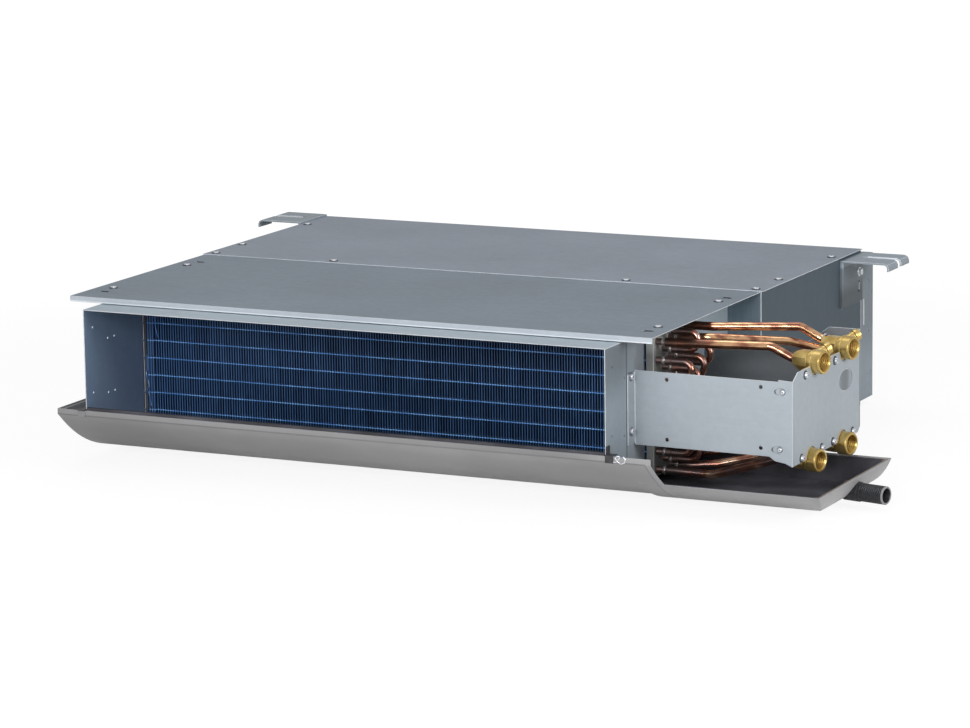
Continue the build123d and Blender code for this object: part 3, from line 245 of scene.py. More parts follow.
def softened(name, materials, width=0.00035, thin=0.0017, shortest=0.004, body="casing"):
    """A copy of a CAD node with its long edges slightly broken. Narrow faces, the cut edges of sheet, and
    the broken edges take the second material."""
    same_point, flat, least_fold, most_of_it = 0.000004, math.radians(0.3), 0.6, 0.8
    shape = bmesh.new()
    shape.from_mesh(nodes[name].data)
    bmesh.ops.remove_doubles(shape, verts=shape.verts, dist=same_point)
    bmesh.ops.dissolve_degenerate(shape, dist=same_point, edges=shape.edges)
    bmesh.ops.dissolve_limit(shape, angle_limit=flat, verts=shape.verts, edges=shape.edges)
    folds = {edge for edge in shape.edges
             if len(edge.link_faces) == 2 and edge.calc_face_angle(0.0) > least_fold}
    for face in shape.faces:
        round_it = face.calc_perimeter()
        narrow = 2 * face.calc_area() < thin * round_it
        folded = sum(edge.calc_length() for edge in face.edges if edge in folds) > most_of_it * round_it
        face.material_index = 1 if narrow and folded else 0
    edges = [edge for edge in folds if edge.calc_length() > shortest]
    bmesh.ops.bevel(shape, geom=edges, offset=width, segments=1, affect="EDGES", material=1)
    mesh = bpy.data.meshes.new(name + "_looks")
    shape.to_mesh(mesh)
    shape.free()
    for attribute in [item for item in mesh.attributes if item.name == "custom_normal"]:
        mesh.attributes.remove(attribute)
    for material in materials:
        mesh.materials.append(material)
    mesh.shade_smooth()
    mesh.set_sharp_from_angle(angle=math.radians(30))
    made = bpy.data.objects.new(name + "_looks", mesh)
    bpy.context.scene.collection.objects.link(made)
    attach(made, body)
    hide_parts(name)
    return made


def galvanised(name, tone, rolled=(1.0, 40.0, 40.0), metal=0.3, streaks=0.22, marks=None):
    """marks(shade, x, y, z) may change the shade at given places."""
    material, first, shader, place = finish(name)
    cloud = noise(first, place, 5.0, 4.0)
    grain = noise(first, place, 14.0, 3.0, rolled)
    spangle = first.node("ShaderNodeTexVoronoi", {"feature": "F1"}, {"Vector": place, "Scale": 130.0}, 1)
    flake = first.node("ShaderNodeSeparateColor", values={"Color": spangle})
    shade = cloud * 0.26 + grain * streaks + flake * 0.05 + (0.845 - streaks / 2)
    if marks:
        shade = marks(shade, *[first.node("ShaderNodeSeparateXYZ", values={"Vector": place}, output=n)
                               for n in range(3)])
    # Where the shade rises above one, mostly in the painted highlights, the tint is whitened.
    highlight_whitening = (shade - 1.0).high(0.0)
    red, green, blue = (shade * part for part in tone)
    tint = first.node("ShaderNodeCombineColor", values={0: red + highlight_whitening * 0.04, 1: green,
                                                        2: blue - highlight_whitening * 0.05})
    bump = bumped(first, grain + flake * 0.4, 0.06, 0.0006)
    feed(first, shader, Base_Color=tint, Metallic=metal, Roughness=cloud * 0.18 + grain * 0.1 + 0.42,
         Normal=bump)
    return material


def cover_marks(shade, x, y, z):
    """The wide covers are more mottled than the narrow sheets."""
    more = 1.45
    return shade * more + (1.0 - more)


def lip_highlight_marks(shade, x, y, z):
    """Painted light: the front cover's folded lip is painted brighter than its top, and brightest along its
    lower edge as a painted highlight.
    """
    lip = 1.0 - y.fade(-0.3880, -0.3870)
    lower_edge = 1.0 - z.fade(0.2325, 0.2350)
    return cover_marks(shade, x, y, z) + lip * (1.15 + lower_edge * 1.2)


def slot_shade_marks(shade, x, y, z):
    """The walls of the cover's four slots are painted dark, as painted shade."""
    half_length, half_width = 0.0125, 0.0065
    for middle_x in (-0.52376, 0.32224):
        for middle_y in (-0.3425, -0.0695):
            across, along = (x - middle_x) / half_length, (y - middle_y) / half_width
            shade = shade * ((across * across + along * along).fade(0.85, 1.0) * 0.95 + 0.05)
    return shade


def plate_shade_marks(shade, x, y, z):
    """Painted shade on the right plate: the cover's painted shadow darkens its top front, and a dark painted
    contact shadow lies where the bracket's flange lies on it.
    """
    cover_shadow = 0.86 - z.fade(0.14, 0.20) * (1.0 - y.fade(-0.39, -0.345)) * 0.28
    flange_shadow = y.fade(-0.3690, -0.3680) * (1.0 - y.fade(-0.3662, -0.3657))
    return shade * cover_shadow * (1.0 - flange_shadow * 0.7)


def tube_sheet_shade_marks(shade, x, y, z):
    """The tube sheet is painted darker below its top edge, as painted shade."""
    return shade * (z.fade(0.188, 0.208) * 0.45 + 0.36)


def bracket_light_and_shade_marks(shade, x, y, z):
    """Painted light and shade on the bracket: a painted highlight along the fold at the left end, painted
    shade over the left part of the front, painted highlights in the two pressed oval pockets at the right
    with painted shade on their left rims, painted shade in the knockout in the side, lighter towards its
    ends, and painted shade on the rear plate."""
    fold = (1.0 - x.fade(0.3030, 0.3040)) * (1.0 - y.fade(-0.3425, -0.3418)) * y.fade(-0.3446, -0.3438)
    front = 1.0 - y.fade(-0.3432, -0.3428)
    shade = shade * (1.0 - front * (1.0 - x.fade(0.305, 0.370)) * 0.17)
    pocket_reach, pocket_rise = 0.0100, 0.0045
    for middle_x, middle_z, left in ((0.51524, 0.171, 0.5102), (0.51124, 0.093, 0.5062)):
        across, up = (x - middle_x) / pocket_reach, (z - middle_z) / pocket_rise
        far = across * across + up * up
        shade = shade + front * (1.0 - far.fade(0.75, 0.95)) * 0.9
        rim = far.fade(0.80, 1.0) * (1.0 - far.fade(1.25, 1.6))
        shade = shade * (1.0 - front * rim * (1.0 - x.fade(left, left + 0.010)) * 0.75)
    knockout_reach, knockout_rise = 0.0240, 0.0150
    across, up = (y + 0.146) / knockout_reach, (z - 0.153) / knockout_rise
    knockout = x.fade(0.5284, 0.5290) * (1.0 - (across * across + up * up).fade(0.85, 1.0))
    lighter_rims = y.fade(-0.145, -0.128) * 0.36 + (1.0 - y.fade(-0.168, -0.155)) * 0.12
    shade = shade * (1.0 - knockout * (0.52 - lighter_rims))
    back_flange = y.fade(-0.0960, -0.0925)
    return (shade + fold * 0.8) * (1.0 - back_flange * 0.55)


def hanger_shade_marks(shade, x, y, z):
    """The hanger is painted dark towards its foot, which lies on the casing's dark side, as painted shade;
    its tongue keeps the plain tone.
    """
    foot, tongue = z.fade(0.180, 0.205), z.fade(0.222, 0.228)
    return shade * (foot * 0.27 + tongue * 0.43 + 0.30)


def frame_marks(shade, x, y, z):
    """The intake frame is a little darker towards its top."""
    return shade * (0.90 - z.fade(0.055, 0.13) * 0.26)


upright = (40.0, 40.0, 1.0)
# The edge tone is lighter than the sheets: bare steel at the cut edges, and a painted highlight on the broken
# edges.
cut_edge = galvanised("galvanised_cut_edge", (0.62, 0.66, 0.70), metal=0.5)
slot_edge = galvanised("galvanised_slot_edge", (0.62, 0.66, 0.70), metal=0.5, marks=slot_shade_marks)
front_sheet = galvanised("galvanised_front_cover", (0.213, 0.255, 0.305), marks=lip_highlight_marks)
rear_sheet = galvanised("galvanised_rear_cover", (0.276, 0.315, 0.371), marks=cover_marks)
duct_sheet = galvanised("galvanised_duct", (0.33, 0.385, 0.43), upright)
rail_sheet = galvanised("galvanised_outlet_rail", (0.41, 0.48, 0.535))
left_sheet = galvanised("galvanised_left_plate", (0.190, 0.262, 0.375), upright)
frame_sheet = galvanised("galvanised_intake_frame", (0.33, 0.385, 0.43), upright, marks=frame_marks)
plate_sheet = galvanised("galvanised_right_plate", (0.33, 0.385, 0.43), upright, marks=plate_shade_marks)
tube_sheet = galvanised("galvanised_tube_sheet", (0.56, 0.58, 0.56), upright, marks=tube_sheet_shade_marks)
# Painted shade: the left end plate is painted dark navy, as the shade under the fins.
blue_sheet = galvanised("end_plate_painted_shade", (0.014, 0.034, 0.085), upright)
coil_wall_sheet = galvanised("galvanised_coil_walls", (0.36, 0.42, 0.465), upright, streaks=0.5)
# Painted shade: the side panels' zinc is painted very dark, as they look in shade.
wall_sheet = galvanised("galvanised_walls", (0.070, 0.098, 0.120), upright, metal=0.4, streaks=0.5)
deck_sheet = galvanised("galvanised_fan_deck", (0.20, 0.265, 0.315), upright, metal=0.4, streaks=0.5)
hanger_sheet = galvanised("galvanised_hangers", (0.30, 0.35, 0.39), upright, marks=hanger_shade_marks)
bracket_plate = galvanised("galvanised_bracket", (0.375, 0.42, 0.46), metal=0.2, streaks=0.12,
                           marks=bracket_light_and_shade_marks)
softened("front_cover", (front_sheet, slot_edge))
softened("rear_cover", (rear_sheet, cut_edge))
softened("outlet_rail", (rail_sheet, cut_edge))
softened("left_outlet_plate", (left_sheet, cut_edge))
softened("right_outlet_plate", (plate_sheet, cut_edge))
softened("left_end_plate", (blue_sheet, blue_sheet))
softened("right_end_plate", (tube_sheet, cut_edge))
for name in ("left_coil_wall", "right_coil_wall"):
    softened(name, (coil_wall_sheet, cut_edge))
for name in ("left_side_panel", "right_side_panel"):
    softened(name, (wall_sheet, cut_edge))
softened("fan_deck", (deck_sheet, cut_edge))
softened("valve_bracket", (bracket_plate, cut_edge))
softened("intake_frame", (frame_sheet, cut_edge))
for name in ("left_hanger", "right_hanger"):
    softened(name, (hanger_sheet, cut_edge), thin=0.003)
dress(duct_sheet, "floor_panel", "plenum_floor", "terminal_box", "terminal_box_lid", "motor_cradle",
      "motor_bands", "left_blower_housing", "right_blower_housing", "left_blower_wheel",
      "right_blower_wheel")


# Screws: zinc-plated, with a pressed washer and a cross recess. Cover, bracket and union screws all share
# one form and differ in the size of the head. The washers are painted darker than the heads as painted
# shade around each head, those of cover and union screws darkest, and the cross recess is painted near
# black as painted shade.
home = Vector((-0.5507576, -0.3885, 0.24))


class Form:
    """Vertices and faces of one object, gathered from several simple forms in millimetres. They are
    measured from the front cover's top left corner, which lies at home in the row frame."""

    def __init__(self):
        self.vertices, self.faces, self.slots = [], [], []

    def add(self, vertices, faces, slot=0):
        start = len(self.vertices)
        self.vertices += [Vector(v) / 1000 for v in vertices]
        self.faces += [tuple(start + i for i in face) for face in faces]
        self.slots += [slot] * len(faces)

    def walls(self, rings, sides):
        """The quads between rings of vertices that follow each other."""
        return [(i * sides + n, i * sides + (n + 1) % sides,
                 (i + 1) * sides + (n + 1) % sides, (i + 1) * sides + n)
                for i in range(rings - 1) for n in range(sides)]

    def turned(self, profile, origin, axis, sides=32, slot=0, spin=0.0):
        """A body of revolution. Its profile of (radius, step along the axis) runs forward on the outside."""
        axis = Vector(axis).normalized()
        across = Vector((0, 0, 1)).cross(axis)
        across = (across if across.length > 0.1 else Vector((1, 0, 0))).normalized()
        over = axis.cross(across)
        points = []
        for radius, step in profile:
            for n in range(sides):
                angle = 2 * math.pi * n / sides + spin
                points.append(Vector(origin) + axis * step
                              + (across * math.cos(angle) + over * math.sin(angle)) * radius)
        self.add(points, self.walls(len(profile), sides), slot)

    def block(self, low, high, slot=0):
        """A box between two opposite corners."""
        corners = [(x, y, z) for x in (low[0], high[0]) for y in (low[1], high[1]) for z in (low[2], high[2])]
        sides = [(0, 1, 3, 2), (4, 6, 7, 5), (0, 4, 5, 1), (2, 3, 7, 6), (0, 2, 6, 4), (1, 5, 7, 3)]
        self.add(corners, sides, slot)

    def tube(self, path, radius, sides=8, slot=0):
        """A round wire that follows a path, closed at both ends."""
        path = [Vector(point) for point in path]
        across = None
        rings = []
        for n, point in enumerate(path):
            ahead = (path[min(n + 1, len(path) - 1)] - path[max(n - 1, 0)]).normalized()
            across = ahead.orthogonal() if across is None else across - ahead * across.dot(ahead)
            across.normalize()
            over = ahead.cross(across)
            rings += [point + (across * math.cos(turn) + over * math.sin(turn)) * radius
                      for turn in (2 * math.pi * k / sides for k in range(sides))]
        last = len(rings) - sides
        ends = [tuple(range(sides - 1, -1, -1)), tuple(range(last, last + sides))]
        self.add(rings, self.walls(len(path), sides) + ends, slot)

    def solid(self, name, materials, sharp, offset):
        """The form as an object, with the vertices that meet made one."""
        made = mesh_piece(name, [v + offset for v in self.vertices], self.faces, materials, self.slots, sharp)
        shape = bmesh.new()
        shape.from_mesh(made.data)
        bmesh.ops.remove_doubles(shape, verts=shape.verts, dist=0.000001)
        shape.to_mesh(made.data)
        shape.free()
        made.data.set_sharp_from_angle(angle=math.radians(sharp))
        return made

    def piece(self, name, materials, body="casing", sharp=30.0, stands_for=()):
        """The object, placed in the row frame and riding on its body."""
        made = self.solid(name, materials, sharp, home)
        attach(made, body)
        if stands_for:
            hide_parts(*stands_for)
        return made


zinc, first, shader, place = finish("bright_zinc")
fine = noise(first, place, 700.0)
feed(first, shader, Base_Color=fine.mix((0.62, 0.65, 0.70), (0.86, 0.88, 0.92)), Metallic=0.75,
     Roughness=fine * 0.2 + 0.2)
# Painted shade: the cross recess is painted near black, and both washer finishes darker than the heads.
recess, first, shader, place = finish("screw_recess_painted_shade")
feed(first, shader, Base_Color=noise(first, place, 500.0).mix((0.03, 0.03, 0.035), (0.09, 0.09, 0.10)),
     Metallic=0.5, Roughness=0.5)
washer_zinc, first, shader, place = finish("washer_zinc_painted_shade")
feed(first, shader, Base_Color=noise(first, place, 500.0).mix((0.13, 0.14, 0.16), (0.26, 0.28, 0.31)),
     Metallic=0.6, Roughness=0.45)
dark_washer, first, shader, place = finish("shaded_washer_zinc")
feed(first, shader, Base_Color=noise(first, place, 500.0).mix((0.025, 0.028, 0.032), (0.075, 0.080, 0.09)),
     Metallic=0.3, Roughness=0.5)


def screw_form(washer, head, height):
    """A screw's visible end at the origin, facing up: a washer and a raised cap with a cross sunk in it."""
    form = Form()
    up, middle = Vector((0, 0, 1)), Vector((0, 0, 0))
    thick, sides, crown = 0.9, 24, head * 0.6
    form.turned([(washer, 0.0), (washer, 0.6), (washer - 0.3, thick), (head, thick)], middle, up, sides, 2)
    form.turned([(head, thick), (head, thick + height * 0.6), (head * 0.86, thick + height * 0.9),
                 (crown, thick + height)], middle, up, sides)
    top = Vector((0, 0, thick + height))
    arm, half = head * 0.40, head * 0.10
    cross = [(arm, -half), (arm, half), (half, half), (half, arm), (-half, arm), (-half, half), (-arm, half),
             (-arm, -half), (-half, -half), (-half, -arm), (half, -arm), (half, -half)]
    rim = [(math.cos(2 * math.pi * n / sides) * crown, math.sin(2 * math.pi * n / sides) * crown)
           for n in range(sides)]
    flat = [Vector((a, b, 0)) for a, b in rim + cross]
    faces = []
    for tri in tessellate_polygon([flat[:sides], flat[sides:]]):
        a, b, c = (flat[i] for i in tri)
        faces.append(tri if (b - a).cross(c - a).z > 0 else tri[::-1])
    form.add([top + v for v in flat], faces)
    ring = [top + Vector((a, b, 0)) for a, b in cross]
    deep = [v - up * height * 0.7 for v in ring]
    count = len(cross)
    walls = [(n, n + count, (n + 1) % count + count, (n + 1) % count) for n in range(count)]
    form.add(ring + deep, walls + [tuple(range(count, 2 * count))], 1)
    return form


def new_tree(name, inputs):
    """A Geometry Nodes tree with named inputs: its first wire and a wire of each input."""
    tree = bpy.data.node_groups.new(name, "GeometryNodeTree")
    for label, kind in inputs.items():
        tree.interface.new_socket(label, in_out="INPUT", socket_type="NodeSocket" + kind)
    tree.interface.new_socket("Geometry", in_out="OUTPUT", socket_type="NodeSocketGeometry")
    first = Wire(tree)
    return first, {label: first.node("NodeGroupInput", output=label) for label in inputs}


def grown(name, tree, values, points=None):
    """Runs a Geometry Nodes tree on points, if given, and keeps its result as a plain mesh object."""
    holder = bpy.data.objects.new(name, points or bpy.data.meshes.new(name))
    bpy.context.scene.collection.objects.link(holder)
    maker = holder.modifiers.new("maker", "NODES")
    maker.node_group = tree
    for item in tree.interface.items_tree:
        if item.in_out == "INPUT" and item.name in values:
            maker[item.identifier] = values[item.name]
    ready = holder.evaluated_get(bpy.context.evaluated_depsgraph_get())
    mesh = bpy.data.meshes.new_from_object(ready)
    holder.modifiers.clear()
    holder.data = mesh
    return holder


first, given = new_tree("set_out", {"Points": "Geometry", "Pattern": "Object", "Finish 0": "Material",
                                    "Finish 1": "Material", "Finish 2": "Material"})
pattern = first.node("GeometryNodeObjectInfo", {"transform_space": "ORIGINAL"},
                     {"Object": given["Pattern"]}, "Geometry")
facing = first.node("GeometryNodeInputNamedAttribute", {"data_type": "FLOAT_VECTOR"}, {"Name": "facing"})
turned = first.node("FunctionNodeAlignRotationToVector", {"axis": "Z"}, {"Vector": facing})
size = first.node("GeometryNodeInputNamedAttribute", {"data_type": "FLOAT"}, {"Name": "size"})
shape = first.node("GeometryNodeInstanceOnPoints", values={"Points": given["Points"], "Instance": pattern,
                                                           "Rotation": turned, "Scale": size})
shape = first.node("GeometryNodeRealizeInstances", values={"Geometry": shape})
part = first.node("GeometryNodeInputNamedAttribute", {"data_type": "INT"}, {"Name": "part"})
for n in range(3):
    chosen = first.node("FunctionNodeCompare", {"data_type": "INT", "operation": "EQUAL"}, {2: part, 3: n})
    shape = first.node("GeometryNodeSetMaterial", values={"Geometry": shape, "Selection": chosen,
                                                          "Material": given["Finish %d" % n]})
first.node("NodeGroupOutput", values={0: shape})
set_out_tree = first.tree


def set_out(name, form, places, finishes, stands_for=(), sharp=30.0):
    """One piece made of copies of a form. Each place is a point, the way the copy faces and its size."""
    pattern = form.solid(name + "_pattern", (), sharp, Vector((0, 0, 0)))
    part = pattern.data.attributes.new("part", "INT", "FACE")
    part.data.foreach_set("value", [face.material_index for face in pattern.data.polygons])
    points = bpy.data.meshes.new(name + "_points")
    points.from_pydata([Vector(point) / 1000 + home for point, axis, size in places], [], [])
    facing = points.attributes.new("facing", "FLOAT_VECTOR", "POINT")
    facing.data.foreach_set("vector", [number for point, axis, size in places for number in axis])
    sizes = points.attributes.new("size", "FLOAT", "POINT")
    sizes.data.foreach_set("value", [size for point, axis, size in places])
    values = {"Pattern": pattern}
    values.update({"Finish %d" % n: finishes[min(n, len(finishes) - 1)] for n in range(3)})
    made = grown(name, set_out_tree, values, points)
    bpy.data.objects.remove(pattern)
    for label in ("facing", "size", "part"):
        if label in made.data.attributes:
            made.data.attributes.remove(made.data.attributes[label])
    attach(made, "casing")
    if stands_for:
        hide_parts(*stands_for)
    return made


up, right, front = (0, 0, 1), (1, 0, 0), (0, -1, 0)
screw_finishes = (zinc, recess, washer_zinc)
shaded_finishes = (zinc, recess, dark_washer)
front_top, rear_top, lap = 0.0, 1.2, 394.2
places = [((x, y, front_top), up, 1.0) for x in (25.0, 874.0) for y in (78.0, 288.0)]
places += [((x, lap, rear_top), up, 1.0) for x in (14.0, 214.0, 687.0, 887.0)]
places += [((x, y, rear_top), up, 1.0) for x in (11.5, 887.5) for y in (479.0, 688.0)]
set_out("cover_screw_heads", screw_form(6.5, 4.6, 1.6), places, shaded_finishes, ("cover_screws",))
flange_face, wall_face, back_face = 853.5, 850.7, 295.5
pocket_face, pocket_size = 45.7, 0.62
places = [((flange_face, 33.0, z), right, 1.0) for z in (-61.0, -136.0)]
places += [((wall_face, 309.0, z), right, 1.0) for z in (-64.0, -144.0)]
places += [((1030.0, back_face, -40.0), front, 1.0)]
places += [((x, pocket_face, z), front, pocket_size) for x, z in ((1066.0, -69.0), (1062.0, -147.0))]
set_out("bracket_screw_heads", screw_form(6.5, 4.5, 2.6), places, screw_finishes, ("bracket_screws",))
unions = (("top_front_union", (128.0, -41.0), -53.0, 10.5, (0.0,)),
          ("top_rear_union", (237.0, -41.0), -53.0, 13.9, (7.2, -7.2)),
          ("low_front_union", (114.0, -172.0), -163.0, 10.5, (0.0,)),
          ("low_rear_union", (230.0, -172.0), -163.0, 13.9, (7.2, -7.2)))
bracket_face, ear_reach = 1080.0, 37.0
places = [((bracket_face, place[0] + side, ear_z), right, 1.0) for name, place, ear_z, tail, pipes in unions
          for side in (-ear_reach, ear_reach)]
set_out("union_screw_heads", screw_form(6.2, 4.2, 3.4), places, shaded_finishes, ("union_screws",))
dress(zinc, "fan_shaft")
softened("hanger_bolts", (zinc, zinc), width=0.0003, thin=0.001, shortest=0.002)


# Coil fins: thin aluminium leaves with a dark blue coat, pressed over the tubes with collars that set their
# spacing. The leaves' front edges are painted light blue as painted highlight, brightest at the left and
# dimmest in the middle, and their sides dark as painted shade between the leaves. The level lines through
# the outlet are painted highlights on thin rods at the collars' fronts. At the left end three leaves lie
# over the end plate, which is painted dark navy as shade under the fins, and two edges are bent to and fro.
fin_pitch, fin_thickness = 0.0041, 0.0010
fin_finish, first, shader, place = finish("blue_fins")
ripple = noise(first, place, 1.0, 2.0, (120.0, 4.0, 9.0))
along = [first.node("ShaderNodeSeparateXYZ", values={"Vector": place}, output=n) for n in range(3)]
# Painted light: the leaves' front edges are painted light blue as painted highlight, brightest at the left
# and dimmest in the middle; their sides are painted dark as shade between the leaves.
edge = 1.0 - along[1].fade(-0.2690, -0.2678)
side = ripple.fade(0.3, 0.7).mix((0.006, 0.020, 0.052), (0.016, 0.050, 0.125))
to_middle, to_right = along[0].fade(-0.50, -0.05), along[0].fade(0.0, 0.22)
level = ripple.fade(0.3, 0.7) * 0.5 + 0.74 - to_middle * 0.60 + to_right * 0.20
tint = edge.mix(side, level.mix((0.018, 0.052, 0.125), (0.090, 0.200, 0.425)))
feed(first, shader, Base_Color=tint, Metallic=0.2, Roughness=0.4)
# Painted highlight: the collar rods are painted as bright blue beads, one per fin, dimmed at random.
collar_highlight_finish, first, shader, place = finish("blue_collar_highlights")
along = first.node("ShaderNodeSeparateXYZ", values={"Vector": place})
bead = along.math("PINGPONG", along, fin_pitch / 2).fade(0.0006, 0.0015)
shine = noise(first, place, 1.0, 2.0, (30.0, 1.0, 40.0)).fade(0.35, 0.65) * 0.6 + 0.4
feed(first, shader, Base_Color=(bead * shine).mix((0.02, 0.12, 0.42), (0.32, 0.62, 1.0)), Metallic=0.0,
     Roughness=0.3)


first, given = new_tree("fin_row", {"Count": "Int", "Pitch": "Float", "Start": "Vector", "Leaf": "Vector",
                                    "Finish": "Material"})
step = first.node("ShaderNodeCombineXYZ", values={"X": given["Pitch"]})
line = first.node("GeometryNodeMeshLine", values={"Count": given["Count"], "Start Location": given["Start"],
                                                  "Offset": step})
leaf = first.node("GeometryNodeMeshCube", values={"Size": given["Leaf"]})
shape = first.node("GeometryNodeInstanceOnPoints", values={"Points": line, "Instance": leaf})
shape = first.node("GeometryNodeRealizeInstances", values={"Geometry": shape})
shape = first.node("GeometryNodeSetMaterial", values={"Geometry": shape, "Material": given["Finish"]})
first.node("NodeGroupOutput", values={0: shape})
fin_row = first.tree
for name in ("heating_fins", "cooling_fins"):
    low, high = (Vector(corner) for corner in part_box(name))
    count = int((high.x - low.x) / fin_pitch)
    middle = (low + high) / 2
    start = (middle.x - (count - 1) * fin_pitch / 2, middle.y, middle.z)
    leaves = grown(name + "_leaves", fin_row, {"Count": count, "Pitch": fin_pitch, "Start": start,
                                               "Leaf": (fin_thickness, high.y - low.y, high.z - low.z),
                                               "Finish": fin_finish})
    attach(leaves, "casing")
    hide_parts(name)
rows, row_pitch, top_row = 8, 25.4, -30.0
left_end, right_end = 57.0, 845.0
collar, wire = 0.9, 0.7
fin_front, plate_front = 119.9, 117.3
form = Form()
# Thin rods at the collars' fronts, and over the end plate, carry the painted highlight lines.
for row in range(rows):
    height = top_row - row_pitch * row
    form.turned([(collar, left_end), (collar, right_end)], (0, fin_front, height), right, 8)
    form.turned([(collar, 55.0), (collar, 65.5)], (0, plate_front, height), right, 8)
for y, bend in ((119.4, [(66.5, -46.0), (68.0, -62.0), (71.5, -76.0)]),
                (115.4, [(55.0, -102.0), (55.2, -123.0), (52.8, -129.0), (57.2, -147.0), (53.6, -152.5),
                         (57.5, -161.0), (59.8, -176.0)])):
    form.tube([(x, y, z) for x, z in bend], wire)
for x in (55.9, 60.0, 64.1):
    form.block((x - 0.5, plate_front, -214.0), (x + 0.5, 118.2, -11.0), 1)
form.piece("fin_collars", (collar_highlight_finish, fin_finish), sharp=60)
columns, column_pitch, coil_front = 4, 22.0, 118.0
inner, outer, length = 4.8, 5.2, right_end - left_end
sleeve = Form()
sleeve.turned([(inner, 0.0), (outer, 0.0), (outer, length), (inner, length), (inner, 0.0)], (0, 0, 0), up, 16)
tube_places = [((left_end, coil_front + column_pitch * (column + 0.5),
                 top_row + row_pitch / 2 * (column % 2) - row_pitch * row), right, 1.0)
               for column in range(columns) for row in range(rows)]
set_out("fin_sleeves", sleeve, tube_places, (fin_finish,), sharp=60.0)


# Copper tubes, bends and header pipes, brazed at their ends. The torch leaves dark brown and purple marks
# near each joint, and clean copper between them. A silver ring of solder shows at each joint.
def heated(name, clean, burnt, bias):
    material, first, shader, place = finish(name)
    blotch = noise(first, place, 1.0, 3.0, (26.0, 60.0, 60.0))
    streak = noise(first, place, 1.0, 2.0, (8.0, 160.0, 160.0))
    along = first.node("ShaderNodeSeparateXYZ", values={"Vector": place})
    near = (1.0 - along.fade(0.305, 0.38)) * 0.34 + along.fade(0.47, 0.53) * 0.12
    mark = (blotch + near + bias).fade(0.46, 0.80)
    purple = (blotch + near + bias).fade(0.38, 0.56)
    tint = mark.mix(purple.mix(clean, (0.42, 0.17, 0.11)), burnt)
    feed(first, shader, Base_Color=tint, Metallic=0.95,
         Roughness=streak * 0.12 + mark * 0.16 + near * 0.45 + 0.07)
    return material


clean_copper = heated("heated_copper", (0.93, 0.56, 0.31), (0.20, 0.115, 0.085), -0.05)
sooty_copper = heated("sooty_copper", (0.80, 0.56, 0.40), (0.17, 0.13, 0.125), 0.05)
dull_copper = heated("burnt_copper", (0.66, 0.56, 0.53), (0.22, 0.16, 0.15), -0.02)
dress(clean_copper, "upper_heating_pipe", "upper_cooling_pipes")
dress(sooty_copper, "lower_heating_pipe", "lower_cooling_pipes")
dress(dull_copper, "heating_hairpins", "cooling_hairpins", "return_bends")
solder, first, shader, place = finish("silver_solder")
drip = noise(first, place, 420.0, 3.0)
feed(first, shader, Base_Color=drip.fade(0.35, 0.65).mix((0.20, 0.17, 0.15), (0.80, 0.80, 0.80)),
     Metallic=0.8, Roughness=drip * 0.3 + 0.2, Normal=bumped(first, drip, 0.4, 0.0006))
ring = Form()
ring.turned([(4.7, 0.0), (5.5, 1.5), (6.4, 3.0), (6.5, 4.0), (6.0, 5.3)], (0, 0, 0), up, 20)
sheet_face = 857.9
places = [((sheet_face, *point[1:]), axis, size) for point, axis, size in tube_places]
set_out("tube_solder", ring, places, (solder,), sharp=60.0)


# Brass unions: cast bodies with an eight-sided tail for the spanner, a turned collar with a female thread
# and a flat ear by which two screws hold them to the bracket. The two upper ones carry an air vent's boss.
brass, first, shader, place = finish("cast_brass")
sand = noise(first, place, 900.0)
stain = noise(first, place, 60.0, 3.0)
tint = first.node("ShaderNodeValToRGB", {"stops": [(0.3, (0.50, 0.34, 0.10)), (0.7, (0.78, 0.58, 0.22))]},
                  {"Fac": stain})
feed(first, shader, Base_Color=tint, Metallic=0.85, Roughness=sand * 0.12 + 0.24,
     Normal=bumped(first, sand, 0.15, 0.0004))
# Painted shade: the unions' bores and threads are painted in a darker brass.
bore_brass, first, shader, place = finish("shaded_brass_bore")
stain = noise(first, place, 60.0, 3.0)
feed(first, shader, Base_Color=stain.fade(0.3, 0.7).mix((0.34, 0.20, 0.045), (0.58, 0.375, 0.105)),
     Metallic=0.85, Roughness=stain * 0.1 + 0.3)
union_turn = math.radians(12.5)
union_axis = Vector((math.cos(union_turn), -math.sin(union_turn), 0.0))
vent_axis = Vector((0.62, 0.68, 0.39)).normalized()


def union_form(form, place, ear_z, tail):
    """One union: tail, neck, collar, threaded mouth and passage, then the ear."""
    crest, trough, thread_pitch = 11.0, 12.05, 3.0
    root = Vector((bracket_face, *place))
    eighth = math.radians(22.5)
    form.turned([(0.0, -31.0), (tail, -31.0), (max(tail, 13.4), -26.0), (14.5, -22.0), (14.5, -7.5),
                 (13.0, -6.0)], root, union_axis, 8, 0, eighth)
    thread = [step for n in range(6) for step in ((trough, 13.6 - thread_pitch * n),
                                                  (crest, 12.1 - thread_pitch * n))]
    form.turned([(12.8, -6.6), (12.8, -3.4), (15.6, -3.0), (16.0, -2.4), (16.0, 1.0), (15.5, 1.5),
                 (15.5, 2.5), (16.0, 3.0), (16.0, 13.6), (15.2, 14.8), (14.6, 15.0), (12.7, 15.0),
                 thread[0]], root, union_axis, 48)
    form.turned(thread + [(9.0, -6.0), (9.0, -24.0), (0.0, -24.0)], root, union_axis, 48, 1)
    ear_half, ear_back, ear_front = 7.5, 1075.5, 1078.5
    half_turn = [math.pi * (n / 12 - 0.5) for n in range(13)]
    ring = [(ear_reach + ear_half * math.cos(a), ear_half * math.sin(a)) for a in half_turn]
    ring += [(-a, -b) for a, b in ring]
    back = [(ear_back, place[0] + a, ear_z + b) for a, b in ring]
    front = [(ear_front, *point[1:]) for point in back]
    count = len(ring)
    form.add(back + front, [(n, (n + 1) % count, (n + 1) % count + count, n + count) for n in range(count)]
             + [tuple(range(count - 1, -1, -1)), tuple(range(count, 2 * count))])


